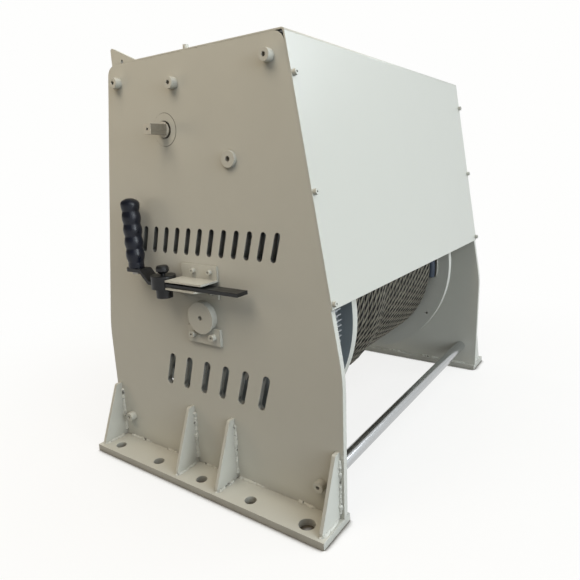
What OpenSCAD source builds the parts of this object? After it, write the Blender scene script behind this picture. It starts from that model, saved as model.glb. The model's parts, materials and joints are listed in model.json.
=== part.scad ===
// Hand-cranked mooring winch: a drum of wire rope between two welded side plates.
// X runs across the winch, Y along the drum, Z up; the floor is Z = 0 under the feet.

/* [Side plates] */
// Length of the winch over the outer faces of its side plates
frame_l = 730; // [715:1:800]
// Width of the side plates at the feet
frame_w = 530; // [510:1:600]
// Width of the side plates at the top
top_w = 364; // [350:1:400]
// Height of the top edge of the side plates
frame_h = 720; // [705:1:760]
// Thickness of the side plates
plate_t = 10; // [9:0.5:12]
// Height at which the plate edges start to lean in
kink_z = 247; // [200:1:290]
// Radius that blends the leaning edge into the upright one
kink_r = 300; // [100:10:500]
// Radius of the two upper corners
corner_r = 18; // [6:1:24]

/* [Feet] */
// Thickness of the foot strips
foot_t = 12; // [10:1:16]
// Width of foot outside the side plate
foot_out = 62; // [58:1:90]
// Width of foot inside the side plate
foot_in = 8; // [4:1:20]
// Diameter of the holding-down holes
foot_hole_d = 20; // [14:1:22]
// Diameter of the one wider hole at the end of the near foot
wide_hole_d = 27; // [20:1:30]
// Distance of the outermost holes from the ends of the foot
foot_hole_inset = 43; // [40:1:50]
// Distance of the holes from the outer face of the side plate
foot_hole_out = 39.5; // [34:0.5:44]
// Thickness of the triangular gussets
gusset_t = 9; // [6:0.5:12]
// Reach of a gusset from the side plate
gusset_out = 53.6; // [40:0.1:56]
// Height of a gusset above the foot
gusset_h = 114; // [90:1:140]
// Width of the narrow top of a gusset
gusset_tip_w = 12; // [10:1:16]
// Height of the upright toe of a gusset
gusset_toe_h = 7; // [4:1:12]
// Distance of the inner gussets from the middle
gusset_mid_x = 48; // [30:1:70]
// Distance of the outer gussets from the ends of the foot
gusset_inset = 5.5; // [3:0.5:9]

/* [Cover] */
// Thickness of the folded cover sheet
cover_t = 2.5; // [1.5:0.5:4]
// Height of the lower edge of the cover
cover_bottom_z = 345; // [320:1:400]
// Diameter of the cover screws
cover_screw_d = 6; // [4:0.5:6]
// Length of a cover screw below its head
cover_screw_l = 18; // [14:1:24]
// Heights of the cover screws on the leaning edge
cover_screw_zs = [353, 509, 665]; // [352:1:680]

/* [Tie rods] */
// Diameter of the tie rods
rod_d = 24; // [22:1:26]
// Distance of the lower rods from the edges of the side plates
low_rod_inset = 40; // [30:1:48]
// Height of the lower rods
low_rod_z = 59.5; // [48:0.5:64]
// Distance of the two outer upper rods from the upper corners
top_rod_insets = [22, 24]; // [20:1:26]
// Sideways place of the middle upper rod
mid_rod_x = -28; // [-40:1:-20]
// Drop of each upper rod below the top edge
top_rod_drops = [29, 43, 29]; // [28:1:46]
// Diameter of the tie rod screws
rod_screw_d = 12; // [10:1:12]
// Length of a tie rod screw inside its rod
rod_screw_in = 25; // [15:1:40]

/* [Drum] */
// Height of the drum axis
drum_z = 302; // [298:1:305]
// Diameter of the fixed drum axle
axle_d = 56; // [50:1:60]
// Length of axle that stands out of each side plate
axle_out = 12; // [10:1:20]
// Diameter of the drum flanges
flange_d = 466; // [440:1:470]
// Thickness of the drum flanges
flange_t = 15.6; // [12:0.1:18]
// Outer diameter of the drum barrel
barrel_d = 219; // [180:1:240]
// Wall of the drum barrel
barrel_wall = 8; // [6:0.5:12]
// Space between the gear-side plate's inner face and its drum flange
gear_bay = 83.6; // [82:0.1:86]
// Space between the far plate's inner face and its drum flange
far_bay = 132; // [115:1:150]

/* [Rope] */
// Diameter of the wire rope
rope_d = 16.8; // [14:0.1:16.8]
// Outer diameter of the wound rope
rope_wound_d = 392; // [360:1:400]
// Turns in the outer layer
rope_turns = 26; // [10:1:26]
// Extra height of the turns nearest the gears
rope_rise = 11; // [0:0.5:12]
// Lift of the taped rope end above its layer
rope_end_lift = 7; // [0:0.5:9]
// Length of tape on the rope end
tape_l = 44; // [20:1:60]

/* [Gears] */
// Module of the drum gear and its pinion
drum_module = 2.75; // [2.75:0.01:2.76]
// Teeth of the drum gear
drum_teeth = 162; // [161:1:163]
// Teeth of the intermediate pinion
pinion_teeth = 33; // [32:1:34]
// Face width of the drum gear
drum_gear_w = 24; // [20:1:25]
// Module of the input pair
input_module = 2.5; // [2.49:0.01:2.5]
// Teeth of the intermediate gear
mid_teeth = 97; // [96:1:97]
// Teeth of the input pinion
input_teeth = 18; // [18:1:19]
// Face width of the intermediate gear
mid_gear_w = 16; // [12:1:17]
// Sideways place of the intermediate axle
mid_x = 77.5; // [76:0.5:78]
// Diameter of the intermediate axle
mid_axle_d = 26; // [22:1:28]
// Sideways place of the input shaft
input_x = -57; // [-57:0.5:-56]

/* [Input shaft] */
// Diameter of the input shaft
input_d = 25; // [22:1:25]
// Width across the flats of the crank square
square_w = 16; // [12:1:17]
// Distance of the crank square's end from the side plate
square_out = 36; // [28:1:40]
// Outer diameter of the shaft bearings
bearing_d = 52; // [50:1:56]
// Width of the shaft bearings
bearing_w = 15; // [13:1:15]

/* [Crank] */
// Length of the crank bar from end to end
arm_l = 261; // [258:1:275]
// Width of the crank bar
arm_w = 25; // [20:1:26]
// Thickness of the crank bar
arm_t = 6; // [5:0.5:7]
// Height of the step in the crank bar
arm_step = 18.7; // [14:0.1:22]
// Diameter of the crank hub
hub_d = 42; // [38:1:42]
// Diameter of the hand grip
grip_d = 32; // [28:1:34]
// Length of the hand grip
grip_l = 120; // [100:1:130]
// Distance of the crank from the side plate
crank_out = 25; // [24:0.5:26]

/* [Crank holder] */
// Reach of the two shelves from the side plate
shelf_out = 41.5; // [39:0.5:50]
// Thickness of the shelves
shelf_t = 3; // [2:0.5:4]
// Height of the lower shelf's upper face
shelf_z = 356; // [354:1:358]
// Height between the two shelves
shelf_gap = 10; // [8:0.5:12]

/* [Hidden] */

// Clearances: fit is round a shaft or pin, gap is between faces that pass each other.
fit = 0.08;
gap = 0.3;
// Length by which a cut runs past the face that it opens.
cut = 1;
// Facets of round solids; every one of them is a true cylinder or a turned face.
$fn = 48;

// Places along Y of the side plates' faces.
near_face = -frame_l / 2;
near_inner = near_face + plate_t;
far_face = frame_l / 2;
far_inner = far_face - plate_t;

// Leaning edges of the side plates.
lean_a = atan((frame_w - top_w) / 2 / (frame_h - kink_z));
lean_out = [cos(lean_a), sin(lean_a)];

// Paint and metal colours.
paint = [0.80, 0.80, 0.77];
steel = [0.62, 0.63, 0.65];
dark_steel = [0.30, 0.31, 0.33];
bronze = [0.72, 0.53, 0.26];
black = [0.09, 0.09, 0.10];

// Two rows of vent slots: the upper row is the finer one.
slot_hs = [47, 64];
slot_ws = [10, 14];
slot_pitches = [26, 43];
slot_zs = [428.5, 188];
slot_counts = [12, 6];
slot_mid_x = 12;
slot_lean_a = 15;

// Small sizes of the frame.
foot_hole_count = 5;
foot_hole_pitch = (frame_w - 2 * foot_hole_inset) / (foot_hole_count - 1);
low_rod_x = frame_w / 2 - low_rod_inset;
top_rod_xs = [top_rod_insets[0] - top_w / 2, mid_rod_x, top_w / 2 - top_rod_insets[1]];
tip_r = 4;
lug_t = 5;
lug_w = 67;
lug_over = 2;
lug_left_x = top_w / 2 + lug_over;
lug_rise = 30;
lug_low = 15;
lug_r = 5;
lug_hole_d = 6;
lug_hole_x = 27;
lug_hole_up = 6.5;
cover_top_x = lug_left_x - lug_w - gap;
socket_share = 0.5;
socket_depth_share = 0.55;
head_d_share = 1.5;
chamfer_share = 0.06;

// Keeper plate that stops the axle turning.
keeper_w = 74;
keeper_h = 30;
keeper_t = 6;
keeper_bite = 11;
keeper_screw_d = 8;
keeper_screw_x = 23;
keeper_screw_z = drum_z - axle_d / 2 - keeper_bite / 3;
centre_hole_d = 8;
centre_hole_l = 6;

// Gear train: places of the two upper axes follow from the teeth.
drum_gear_r = drum_module * drum_teeth / 2;
mid_pinion_r = drum_module * pinion_teeth / 2;
mid_gear_r = input_module * mid_teeth / 2;
input_pinion_r = input_module * input_teeth / 2;
mid_centre = drum_gear_r + mid_pinion_r;
input_centre = mid_gear_r + input_pinion_r;
mid_z = drum_z + sqrt(mid_centre * mid_centre - mid_x * mid_x);
input_dx = input_x - mid_x;
input_z = mid_z + sqrt(input_centre * input_centre - input_dx * input_dx);
drum_mesh_a = atan2(mid_z - drum_z, mid_x);
input_mesh_a = atan2(input_z - mid_z, input_dx);
backlash_share = 0.1;
mid_stub = 5;

// Places along Y of the drive, from the near plate's inner face.
cap_t = 3;
housing_w = 12;
housing_lip = 4;
housing_wall = 12;
lip_reach = 3.5;
mid_gear_y = near_inner + 14;
drum_gear_y = near_inner + 36;
web_t = 12;
rim_t = 22;
pinion_over = 2;
input_over = 1;
near_flange_y = near_inner + gear_bay;
far_flange_y = far_inner - far_bay - flange_t;
rope_space = far_flange_y - near_flange_y - flange_t;
brake_y = near_inner + 50;
collar_l = 12;
collar_wall = 7;
mid_hub_wall = 7;

// Load brake.
brake_disc_d = 100;
brake_flange_t = 12;
disc_t = 3;
ratchet_t = 10;
ratchet_d = 100;
ratchet_depth = 7;
ratchet_teeth = 12;
ratchet_face_a = 120;
nut_d = 60;
nut_l = 20;
ratchet_y = brake_y + brake_flange_t + disc_t + gap;
pawl_r = 11;
pawl_pin_d = 16;
pawl_reach = 60;
pawl_clear = 0.5;
spring_wire_d = 2;
spring_turns = 4;
spring_pitch = 2.6;
spring_rings = 8;
clip_t = 2;
clip_w = 4;
pawl_l = ratchet_t - 1;
spring_y = ratchet_y + ratchet_t + gap;
clip_y = spring_y + spring_turns * spring_pitch + spring_wire_d + gap;

// Drum parts.
bush_wall = 6;
bush_l = 56;
boss_wall = 12;
spacer_wall = 5;
bore_gap = 3;
gear_spacer_w = near_flange_y - drum_gear_y - drum_gear_w;
bolt_ring_d = 240;
bolt_d = 12;
bolt_head_t = 7.5;
bolt_count = 8;
anchor_hole_d = 6;
anchor_hole_r = 217;
anchor_hole_a = -33;

// Bearings.
inner_ring_d = 31;
outer_bore_d = 46;
ball_count = 9;

// Crank in its holder, with the shaft socket underneath.
crank_y = near_face - crank_out;
arm_z = shelf_z + gap;
arm_left_x = -153;
arm_right_x = arm_left_x + arm_l;
arm_bend_x = -92;
arm_bend_l = 20;
hub_x = -66;
hub_h = 22.5;
hub_under = 5.3;
socket_d = 28;
socket_l = 16.5;
knob_d = 22;
knob_h = 13;
stem_d = 8;
knob_gap = 3;
grip_x = -132.5;
spindle_d = 10;
spindle_head_t = 5;
collar_h = 12;
grip_lobes = 5;
lobe_h_share = 0.06;
collar_r_share = 0.42;
dome_share = 0.93;
dome_flat_share = 0.93;
knob_shares = [[0.3, 0], [0.5, 0.3], [0.5, 0.7], [0.4, 1], [0, 1]];
shelf_left_x = -44;
shelf_right_x = 37.5;
upper_lip = 23;
lower_lip = 17;
shelf_cut = 16.5;
holder_screw_d = 6;
holder_screw_xs = [-15, 22];
holder_screw_up = 12.5;
holder_screw_down = 6.5;

// Wound rope and its taped end.
rope_gap = 0.4;
rope_sides = 6;
rope_end_a = -7.5;
rise_start_share = 0.29;
rise_end_share = 0.46;
rise_steps = 12;
end_lift_share = 0.12;
tape_t = 0.4;
tape_steps = 3;
tape_tip_gap = 12;
rope_pitch = (rope_space - rope_d - 2 * rope_gap) / rope_turns;
rope_r = rope_wound_d / 2 - rope_d / 2;
rise_shares = [for (i = [0:rise_steps])
    rise_start_share + (rise_end_share - rise_start_share) * i / rise_steps];
wound_ys = [for (share = concat([0], rise_shares, [1])) near_flange_y + flange_t + rope_space * share];

// Outline helpers.
function unit(v) = v / norm(v);
function polar(r, a) = [r * cos(a), r * sin(a)];
function wrapped(a) = a > 180 ? a - 360 : (a < -180 ? a + 360 : a);
function direction(v) = atan2(v.y, v.x);
function eased(t) = let (s = min(1, max(0, t))) s * s * (3 - 2 * s);

// Arc of radius r that replaces the corner b between a and c.
function corner_arc(a, b, c, r, n) =
    let (u = unit(a - b), w = unit(c - b), half = acos(u * w) / 2)
    let (centre = b + unit(u + w) * r / sin(half))
    let (start = direction(b + u * r / tan(half) - centre))
    let (sweep = wrapped(direction(b + w * r / tan(half) - centre) - start))
    [for (i = [0:n]) centre + polar(r, start + sweep * i / n)];

// Closed outline with a radius at each corner that asks for one.
function rounded(points, radii, n = 8) =
    let (count = len(points))
    [for (i = [0:count - 1])
        let (before = points[(i + count - 1) % count], after = points[(i + 1) % count])
        each radii[i] > 0 ? corner_arc(before, points[i], after, radii[i], n) : [points[i]]];

function lean_x(z) = frame_w / 2 - (z - kink_z) * tan(lean_a);

// Involute gear outline; a tooth stands on the X axis unless turned.
function involute(a) = tan(a) * 180 / PI - a;
function tooth_half_a(r, pitch_r, teeth) =
    let (base_r = pitch_r * cos(20), pressure = r > base_r ? acos(base_r / r) : 0)
    90 / teeth * (1 - backlash_share / 2) + involute(20) - involute(pressure);
function gear_outline(m, teeth, turn) =
    let (pitch_r = m * teeth / 2, root_r = pitch_r - 1.25 * m, tip_r = pitch_r + m)
    let (flank_r = (max(root_r, pitch_r * cos(20)) + pitch_r) / 2)
    let (radii = [root_r, flank_r, (pitch_r + tip_r) / 2, tip_r])
    [for (k = [0:teeth - 1])
        let (middle = turn + k * 360 / teeth)
        each concat(
            [for (i = [0:3]) polar(radii[i], middle - tooth_half_a(radii[i], pitch_r, teeth))],
            [for (i = [3:-1:0]) polar(radii[i], middle + tooth_half_a(radii[i], pitch_r, teeth))])];

// Extrudes an XZ outline along Y, from y0.
module along_y(y0, l) {
    translate([0, y0 + l, 0]) rotate([90, 0, 0]) linear_extrude(l) children();
}

// Round bar along Y at x, z.
module bar_y(x, z, y0, l, d) {
    translate([x, y0, z]) rotate([-90, 0, 0]) cylinder(h = l, d = d);
}

module tube_y(x, z, y0, l, d, bore_d) {
    difference() {
        bar_y(x, z, y0, l, d);
        bar_y(x, z, y0 - cut, l + 2 * cut, bore_d);
    }
}

// Socket head screw at the origin: its head stands on Z = 0 and its shank points down.
module cap_screw(d, l, head_t, sides = 6) {
    difference() {
        union() {
            cylinder(h = head_t, d = d * head_d_share);
            translate([0, 0, -l]) cylinder(h = l + cut / 2, d = d);
        }
        translate([0, 0, head_t * (1 - socket_depth_share)])
            cylinder(h = head_t, d = d * socket_share * 2 / sqrt(3), $fn = sides);
    }
}

// Turns a screw so that its head faces out of the near or the far plate.
module facing(side, x, z, y) {
    translate([x, y, z]) rotate([side < 0 ? 90 : -90, 0, 0]) children();
}

module on_lean(y, z) {
    translate([lean_x(z), y, z]) rotate([0, 90 - lean_a, 0]) children();
}

function screw_ys() = [near_face + plate_t / 2, far_face - plate_t / 2];

// Outline of a side plate above its foot.
module plate_outline() {
    half = frame_w / 2;
    polygon(rounded(
        [[-half, foot_t], [half, foot_t], [half, kink_z], [top_w / 2, frame_h], [-top_w / 2, frame_h],
            [-half, kink_z]],
        [0, 0, kink_r, corner_r, corner_r, kink_r]));
}

module slot_outline(h, w) {
    polygon(rounded([[-w, -h] / 2, [w, -h] / 2, [w, h] / 2, [-w, h] / 2], [w, w, w, w] * 0.499, 6));
}

module vent_slots() {
    for (row = [0:1], i = [0:slot_counts[row] - 1])
        translate([slot_mid_x + (i - (slot_counts[row] - 1) / 2) * slot_pitches[row], slot_zs[row]])
            rotate(-slot_lean_a) slot_outline(slot_hs[row], slot_ws[row]);
}

function rod_places() = concat(
    [for (s = [-1, 1]) [s * low_rod_x, low_rod_z]],
    [for (i = [0:len(top_rod_xs) - 1]) [top_rod_xs[i], frame_h - top_rod_drops[i]]]);

// Holes that both side plates have.
module plate_holes(y0) {
    l = plate_t + 2 * cut;
    bar_y(0, drum_z, y0 - cut, l, axle_d + 2 * fit);
    bar_y(mid_x, mid_z, y0 - cut, l, mid_axle_d + 2 * fit);
    bar_y(input_x, input_z, y0 - cut, l, bearing_d + 2 * fit);
    for (p = rod_places()) bar_y(p.x, p.y, y0 - cut, l, rod_screw_d + gap);
    for (z = cover_screw_zs) on_lean(y0 + plate_t / 2, z)
        translate([0, 0, -cover_screw_l]) cylinder(h = cover_screw_l + cut, d = cover_screw_d + 2 * fit);
    translate([0, y0 + plate_t / 2, frame_h - cover_screw_l])
        cylinder(h = cover_screw_l + cut, d = cover_screw_d + 2 * fit);
}

module near_side_plate() {
    color(paint) difference() {
        along_y(near_face, plate_t) difference() {
            plate_outline();
            vent_slots();
        }
        plate_holes(near_face);
        for (s = [-1, 1])
            bar_y(s * keeper_screw_x, keeper_screw_z, near_face - cut, plate_t + 2 * cut,
                keeper_screw_d + 2 * fit);
        for (x = holder_screw_xs, z = holder_screw_zs())
            bar_y(x, z, near_face - cut, plate_t + 2 * cut, holder_screw_d + 2 * fit);
    }
}

module far_side_plate() {
    color(paint) difference() {
        along_y(far_inner, plate_t) plate_outline();
        plate_holes(far_inner);
    }
}

// Foot strip of the near side; the far one is its mirror image with equal holes.
module foot(end_hole_d) {
    difference() {
        translate([-frame_w / 2, near_face - foot_out, 0])
            cube([frame_w, foot_out + plate_t + foot_in, foot_t]);
        for (i = [1:foot_hole_count])
            translate([frame_w / 2 - foot_hole_inset - (foot_hole_count - i) * foot_hole_pitch,
                near_face - foot_hole_out, -cut])
                cylinder(h = foot_t + 2 * cut, d = i == foot_hole_count ? end_hole_d : foot_hole_d);
    }
}

module near_foot() {
    color(paint) foot(wide_hole_d);
}

module far_foot() {
    color(paint) mirror([0, 1, 0]) foot(foot_hole_d);
}

// Four gussets on the near side.
module gussets() {
    outer_x = frame_w / 2 - gusset_inset - gusset_t / 2;
    for (x = [-outer_x, -gusset_mid_x, gusset_mid_x, outer_x])
        translate([x - gusset_t / 2, near_face, foot_t]) mirror([0, 1, 0]) rotate([90, 0, 90])
            linear_extrude(gusset_t) polygon(rounded(
                [[0, 0], [gusset_out, 0], [gusset_out, gusset_toe_h], [gusset_tip_w, gusset_h],
                    [0, gusset_h]],
                [0, 0, 0, tip_r, 0], 4));
}

module near_gussets() {
    color(paint) gussets();
}

module far_gussets() {
    color(paint) mirror([0, 1, 0]) gussets();
}

// Small pierced ears behind the free upper corners.
module corner_lug() {
    difference() {
        along_y(near_inner, lug_t) translate([-lug_left_x, frame_h]) polygon(rounded(
            [[0, -lug_low], [lug_w, -lug_low], [lug_w, lug_t / 2], [lug_r, lug_rise], [0, lug_rise]],
            [0, 0, 0, lug_r, lug_r * 0.7], 6));
        bar_y(lug_hole_x - lug_left_x, frame_h + lug_hole_up, near_inner - cut, lug_t + 2 * cut, lug_hole_d);
    }
}

module corner_lugs() {
    color(paint) {
        corner_lug();
        mirror([0, 1, 0]) corner_lug();
    }
}

// Corners of the cover's section at a distance off the edges of the side plates.
function cover_line(off) =
    [[-cover_top_x, frame_h + off],
        [top_w / 2, frame_h] + off * [(1 - sin(lean_a)) / cos(lean_a), 1],
        [lean_x(cover_bottom_z), cover_bottom_z] + off * lean_out];

// Folded sheet over the top and down the leaning edge, with a sharp fold.
module cover() {
    inner = cover_line(fit);
    outer = cover_line(fit + cover_t);
    color(paint) difference() {
        along_y(near_face, frame_l) polygon(concat(inner, [outer[2], outer[1], outer[0]]));
        for (y = screw_ys()) {
            for (z = cover_screw_zs) on_lean(y, z)
                translate([0, 0, -cut]) cylinder(h = cover_t + 3 * cut, d = cover_screw_d + 2 * fit);
            translate([0, y, frame_h - cut]) cylinder(h = cover_t + 3 * cut, d = cover_screw_d + 2 * fit);
        }
    }
}

module cover_screws() {
    seat = cover_t + 2 * fit;
    color(paint) for (y = screw_ys()) {
        for (z = cover_screw_zs) on_lean(y, z)
            translate([0, 0, seat]) cap_screw(cover_screw_d, cover_screw_l, cover_screw_d);
        translate([0, y, frame_h + seat]) cap_screw(cover_screw_d, cover_screw_l, cover_screw_d);
    }
}

// Polished bars that hold the plates apart, tapped at both ends.
module tie_rod(p) {
    depth = rod_screw_in + gap;
    difference() {
        bar_y(p.x, p.y, near_inner, far_inner - near_inner, rod_d);
        bar_y(p.x, p.y, near_inner - cut, depth + cut, rod_screw_d + 2 * fit);
        bar_y(p.x, p.y, far_inner - depth, depth + cut, rod_screw_d + 2 * fit);
    }
}

module lower_tie_rods() {
    color(steel) for (i = [0:1]) tie_rod(rod_places()[i]);
}

module upper_tie_rods() {
    color(steel) for (i = [2:len(top_rod_xs) + 1]) tie_rod(rod_places()[i]);
}

module tie_rod_screws() {
    color(paint) for (p = rod_places(), side = [-1, 1])
        facing(side, p.x, p.y, side * frame_l / 2)
            cap_screw(rod_screw_d, plate_t + rod_screw_in, rod_screw_d);
}

// Fixed axle, with a notch for the keeper plate and a centre hole in each end.
module drum_axle() {
    notch_z = drum_z - axle_d / 2;
    color(paint) difference() {
        bar_y(0, drum_z, near_face - axle_out, frame_l + 2 * axle_out, axle_d);
        translate([-axle_d / 2, near_face - keeper_t - gap, notch_z - cut])
            cube([axle_d, keeper_t + gap + fit, keeper_bite + gap + cut]);
        bar_y(0, drum_z, near_face - axle_out - cut, centre_hole_l + cut, centre_hole_d);
        bar_y(0, drum_z, far_face + axle_out - centre_hole_l, centre_hole_l + cut, centre_hole_d);
    }
}

module axle_spacers() {
    color(steel) {
        tube_y(0, drum_z, near_inner, gear_bay - gap, axle_d + 2 * spacer_wall, axle_d + 2 * fit);
        tube_y(0, drum_z, far_inner - far_bay + gap, far_bay - gap, axle_d + 2 * spacer_wall,
            axle_d + 2 * fit);
    }
}

module keeper_plate() {
    top = drum_z - axle_d / 2 + keeper_bite;
    color(paint) difference() {
        translate([-keeper_w / 2, near_face - keeper_t, top - keeper_h]) cube([keeper_w, keeper_t, keeper_h]);
        for (s = [-1, 1])
            bar_y(s * keeper_screw_x, keeper_screw_z, near_face - keeper_t - cut, keeper_t + 2 * cut,
                keeper_screw_d + 2 * fit);
    }
}

module keeper_screws() {
    color(paint) for (s = [-1, 1])
        facing(-1, s * keeper_screw_x, keeper_screw_z, near_face - keeper_t)
            cap_screw(keeper_screw_d, keeper_t + plate_t, keeper_screw_d);
}

module intermediate_axle() {
    color(paint) difference() {
        bar_y(mid_x, mid_z, near_face - mid_stub, frame_l + 2 * mid_stub, mid_axle_d);
        bar_y(mid_x, mid_z, near_face - mid_stub - cut, centre_hole_l + cut, centre_hole_d);
        bar_y(mid_x, mid_z, far_face + mid_stub - centre_hole_l, centre_hole_l + cut, centre_hole_d);
    }
}

// Rings on the fixed axle at both ends of the gear cluster.
module intermediate_collars() {
    end = drum_gear_y + drum_gear_w + pinion_over;
    color(steel) {
        tube_y(mid_x, mid_z, near_inner, mid_gear_y - near_inner - gap, mid_axle_d + collar_wall,
            mid_axle_d + 2 * fit);
        tube_y(mid_x, mid_z, end + gap, collar_l, mid_axle_d + 2 * collar_wall, mid_axle_d + 2 * fit);
    }
}

// Rings on the inside of the plates that hold the shaft bearings.
module bearing_housing() {
    difference() {
        bar_y(input_x, input_z, near_inner, housing_w, bearing_d + 2 * housing_wall);
        bar_y(input_x, input_z, near_inner - cut, housing_w - housing_lip + cut, bearing_d + 2 * fit);
        bar_y(input_x, input_z, near_inner - cut, housing_w + 2 * cut, bearing_d - 2 * lip_reach);
    }
}

module bearing_housings() {
    color(paint) {
        bearing_housing();
        mirror([0, 1, 0]) bearing_housing();
    }
}

// Places the near bearing's part and its mirror image.
module at_both_bearings() {
    children();
    mirror([0, 1, 0]) children();
}

module bearing_outer_rings() {
    color(steel) at_both_bearings()
        tube_y(input_x, input_z, near_face + cap_t, bearing_w, bearing_d, outer_bore_d);
}

module bearing_balls() {
    ball_d = (outer_bore_d - inner_ring_d) / 2 - 2 * fit;
    orbit_r = (outer_bore_d + inner_ring_d) / 4;
    color(steel) at_both_bearings() for (i = [0:ball_count - 1])
        translate([input_x + orbit_r * cos(i * 360 / ball_count), near_face + cap_t + bearing_w / 2,
            input_z + orbit_r * sin(i * 360 / ball_count)]) sphere(d = ball_d, $fn = 24);
}

module bearing_caps() {
    color(paint) at_both_bearings()
        tube_y(input_x, input_z, near_face, cap_t, bearing_d, input_d + cap_t);
}

module ratchet_wheel() {
    root = ratchet_d / 2 - ratchet_depth;
    step = 360 / ratchet_teeth;
    color(dark_steel) difference() {
        along_y(ratchet_y, ratchet_t) translate([input_x, input_z]) polygon(
            [for (k = [0:ratchet_teeth - 1])
                let (a = ratchet_face_a + k * step)
                each [polar(ratchet_d / 2, a), polar(root, a)]]);
        bar_y(input_x, input_z, ratchet_y - cut, ratchet_t + 2 * cut, input_d + 2 * fit);
    }
}

module friction_discs() {
    for (y = [ratchet_y - disc_t, ratchet_y + ratchet_t])
        color([0.35, 0.27, 0.2])
            tube_y(input_x, input_z, y, disc_t, brake_disc_d - 4 * ratchet_depth, input_d + 2 * gap);
}

// Pawl pivot, seen from the ratchet wheel's centre: square to the tooth face at its tip.
tip_mid_r = ratchet_d / 2 - ratchet_depth / 2;
pawl_at = [input_x, input_z] + polar(tip_mid_r, ratchet_face_a) + polar(pawl_reach, ratchet_face_a + 90);

module pawl_pin() {
    color(steel) difference() {
        union() {
            bar_y(pawl_at.x, pawl_at.y, near_inner, clip_y + 2 * clip_t - near_inner, pawl_pin_d);
            bar_y(pawl_at.x, pawl_at.y, near_inner, ratchet_y - near_inner, pawl_pin_d + collar_wall);
        }
        tube_y(pawl_at.x, pawl_at.y, clip_y, clip_t, pawl_pin_d + cut, pawl_pin_d - clip_t);
    }
}

module pawl_pin_clip() {
    color(dark_steel) tube_y(pawl_at.x, pawl_at.y, clip_y + fit, clip_t - 2 * fit, pawl_pin_d + clip_w,
        pawl_pin_d - clip_t + 2 * fit);
}

function holder_screw_zs() = [shelf_z - shelf_t - holder_screw_down,
    shelf_z + shelf_gap + shelf_t + holder_screw_up];

// Shelf of the crank holder in section: a flange on the plate and a tray out of it.
module shelf(z, lip, turned) {
    w = shelf_right_x - shelf_left_x;
    difference() {
        union() {
            translate([shelf_left_x, near_face - shelf_out, z]) cube([w, shelf_out, shelf_t]);
            translate([shelf_left_x, near_face - shelf_t, turned ? z - lip : z])
                cube([w, shelf_t, lip + shelf_t]);
        }
        for (x = holder_screw_xs, zs = holder_screw_zs())
            bar_y(x, zs, near_face - shelf_t - cut, shelf_t + 2 * cut, holder_screw_d + 2 * fit);
        if (turned)
            translate([shelf_right_x, near_face - shelf_out, z - cut]) rotate(45)
                cube([shelf_cut, shelf_cut, 2 * (shelf_t + 2 * cut)] * sqrt(2), center = true);
    }
}

module upper_crank_shelf() {
    color(paint) shelf(shelf_z + shelf_gap, upper_lip, false);
}

module lower_crank_shelf() {
    color(paint) shelf(shelf_z - shelf_t, lower_lip, true);
}

module holder_screws() {
    color(paint) for (x = holder_screw_xs, z = holder_screw_zs())
        facing(-1, x, z, near_face - shelf_t)
            cap_screw(holder_screw_d, shelf_t + plate_t, holder_screw_d);
}

module drum_barrel() {
    color(steel)
        tube_y(0, drum_z, near_flange_y + flange_t, rope_space, barrel_d, barrel_d - 2 * barrel_wall);
}

bush_d = axle_d + 2 * bush_wall;

// Flange disc with a boss inside the barrel that holds a bush.
module drum_flange(disc_y, boss_y, boss_l) {
    difference() {
        union() {
            bar_y(0, drum_z, disc_y, flange_t, flange_d);
            bar_y(0, drum_z, boss_y, boss_l, bush_d + 2 * boss_wall);
        }
        bar_y(0, drum_z, boss_y - cut, bush_l + 2 * cut, bush_d + 2 * fit);
        children();
    }
}

module near_drum_flange() {
    color(paint) drum_flange(near_flange_y, near_flange_y, bush_l)
        gear_bolt_bars(near_flange_y - cut, flange_t + 2 * cut, bolt_d + 2 * fit);
}

module far_drum_flange() {
    anchor = [0, drum_z] + polar(anchor_hole_r, anchor_hole_a);
    color(paint) drum_flange(far_flange_y, far_flange_y + flange_t - bush_l, bush_l)
        bar_y(anchor.x, anchor.y, far_flange_y - cut, flange_t + 2 * cut, anchor_hole_d);
}

module drum_bushes() {
    color(bronze) for (y = [near_flange_y, far_flange_y + flange_t - bush_l])
        tube_y(0, drum_z, y, bush_l, bush_d, axle_d + 2 * fit);
}

// Extra radius of the winding at y: the turns nearest the gears lie a little higher.
function rise_at(y) =
    let (share = (y - near_flange_y - flange_t) / rope_space)
    rope_rise * eased((rise_end_share - share) / (rise_end_share - rise_start_share));

// Radius of the wound rope, and of the layers under its outer one.
function wound_r(y) = rope_wound_d / 2 + rise_at(y);
function core_r(y) = wound_r(y) - rope_d - rope_gap;

// Turns an outline of radius and place along Y round the drum's axis.
module turned_about_drum(points) {
    translate([0, 0, drum_z]) rotate([90, 0, 0]) rotate_extrude($fn = 96)
        polygon([for (p = points) [p.x, -p.y]]);
}

// Layers under the outer one, as one plain ring.
module rope_core() {
    inner = barrel_d / 2 + fit;
    last = len(wound_ys) - 1;
    color([0.36, 0.34, 0.31]) turned_about_drum(concat(
        [for (y = wound_ys) [core_r(y), y]],
        [[inner, wound_ys[last]], [inner, wound_ys[0]]]));
}

// Outer layer as one plain ring, with room for the taped end.
module rope_winding() {
    last = len(wound_ys) - 1;
    color([0.42, 0.39, 0.34]) difference() {
        turned_about_drum(concat(
            [for (y = wound_ys) [wound_r(y), y]],
            [for (i = [last:-1:0]) [core_r(wound_ys[i]) + fit, wound_ys[i]]]));
        tape_room();
    }
}

// Wedge beside the far flange round the taped end.
module tape_room() {
    w = rope_d + 2 * tape_t + rope_pitch * rope_a(tape_l) / 360 + 2 * rope_gap;
    along_y(far_flange_y - w, w + cut) translate([0, drum_z]) polygon([
        [0, 0],
        polar(rope_wound_d, rope_end_a - rope_a(tape_tip_gap)),
        polar(rope_wound_d, rope_end_a + rope_a(tape_l + rope_gap))]);
}

// Angle round the drum that a length of rope covers.
function rope_a(l) = l / rope_r * 180 / PI;

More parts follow.
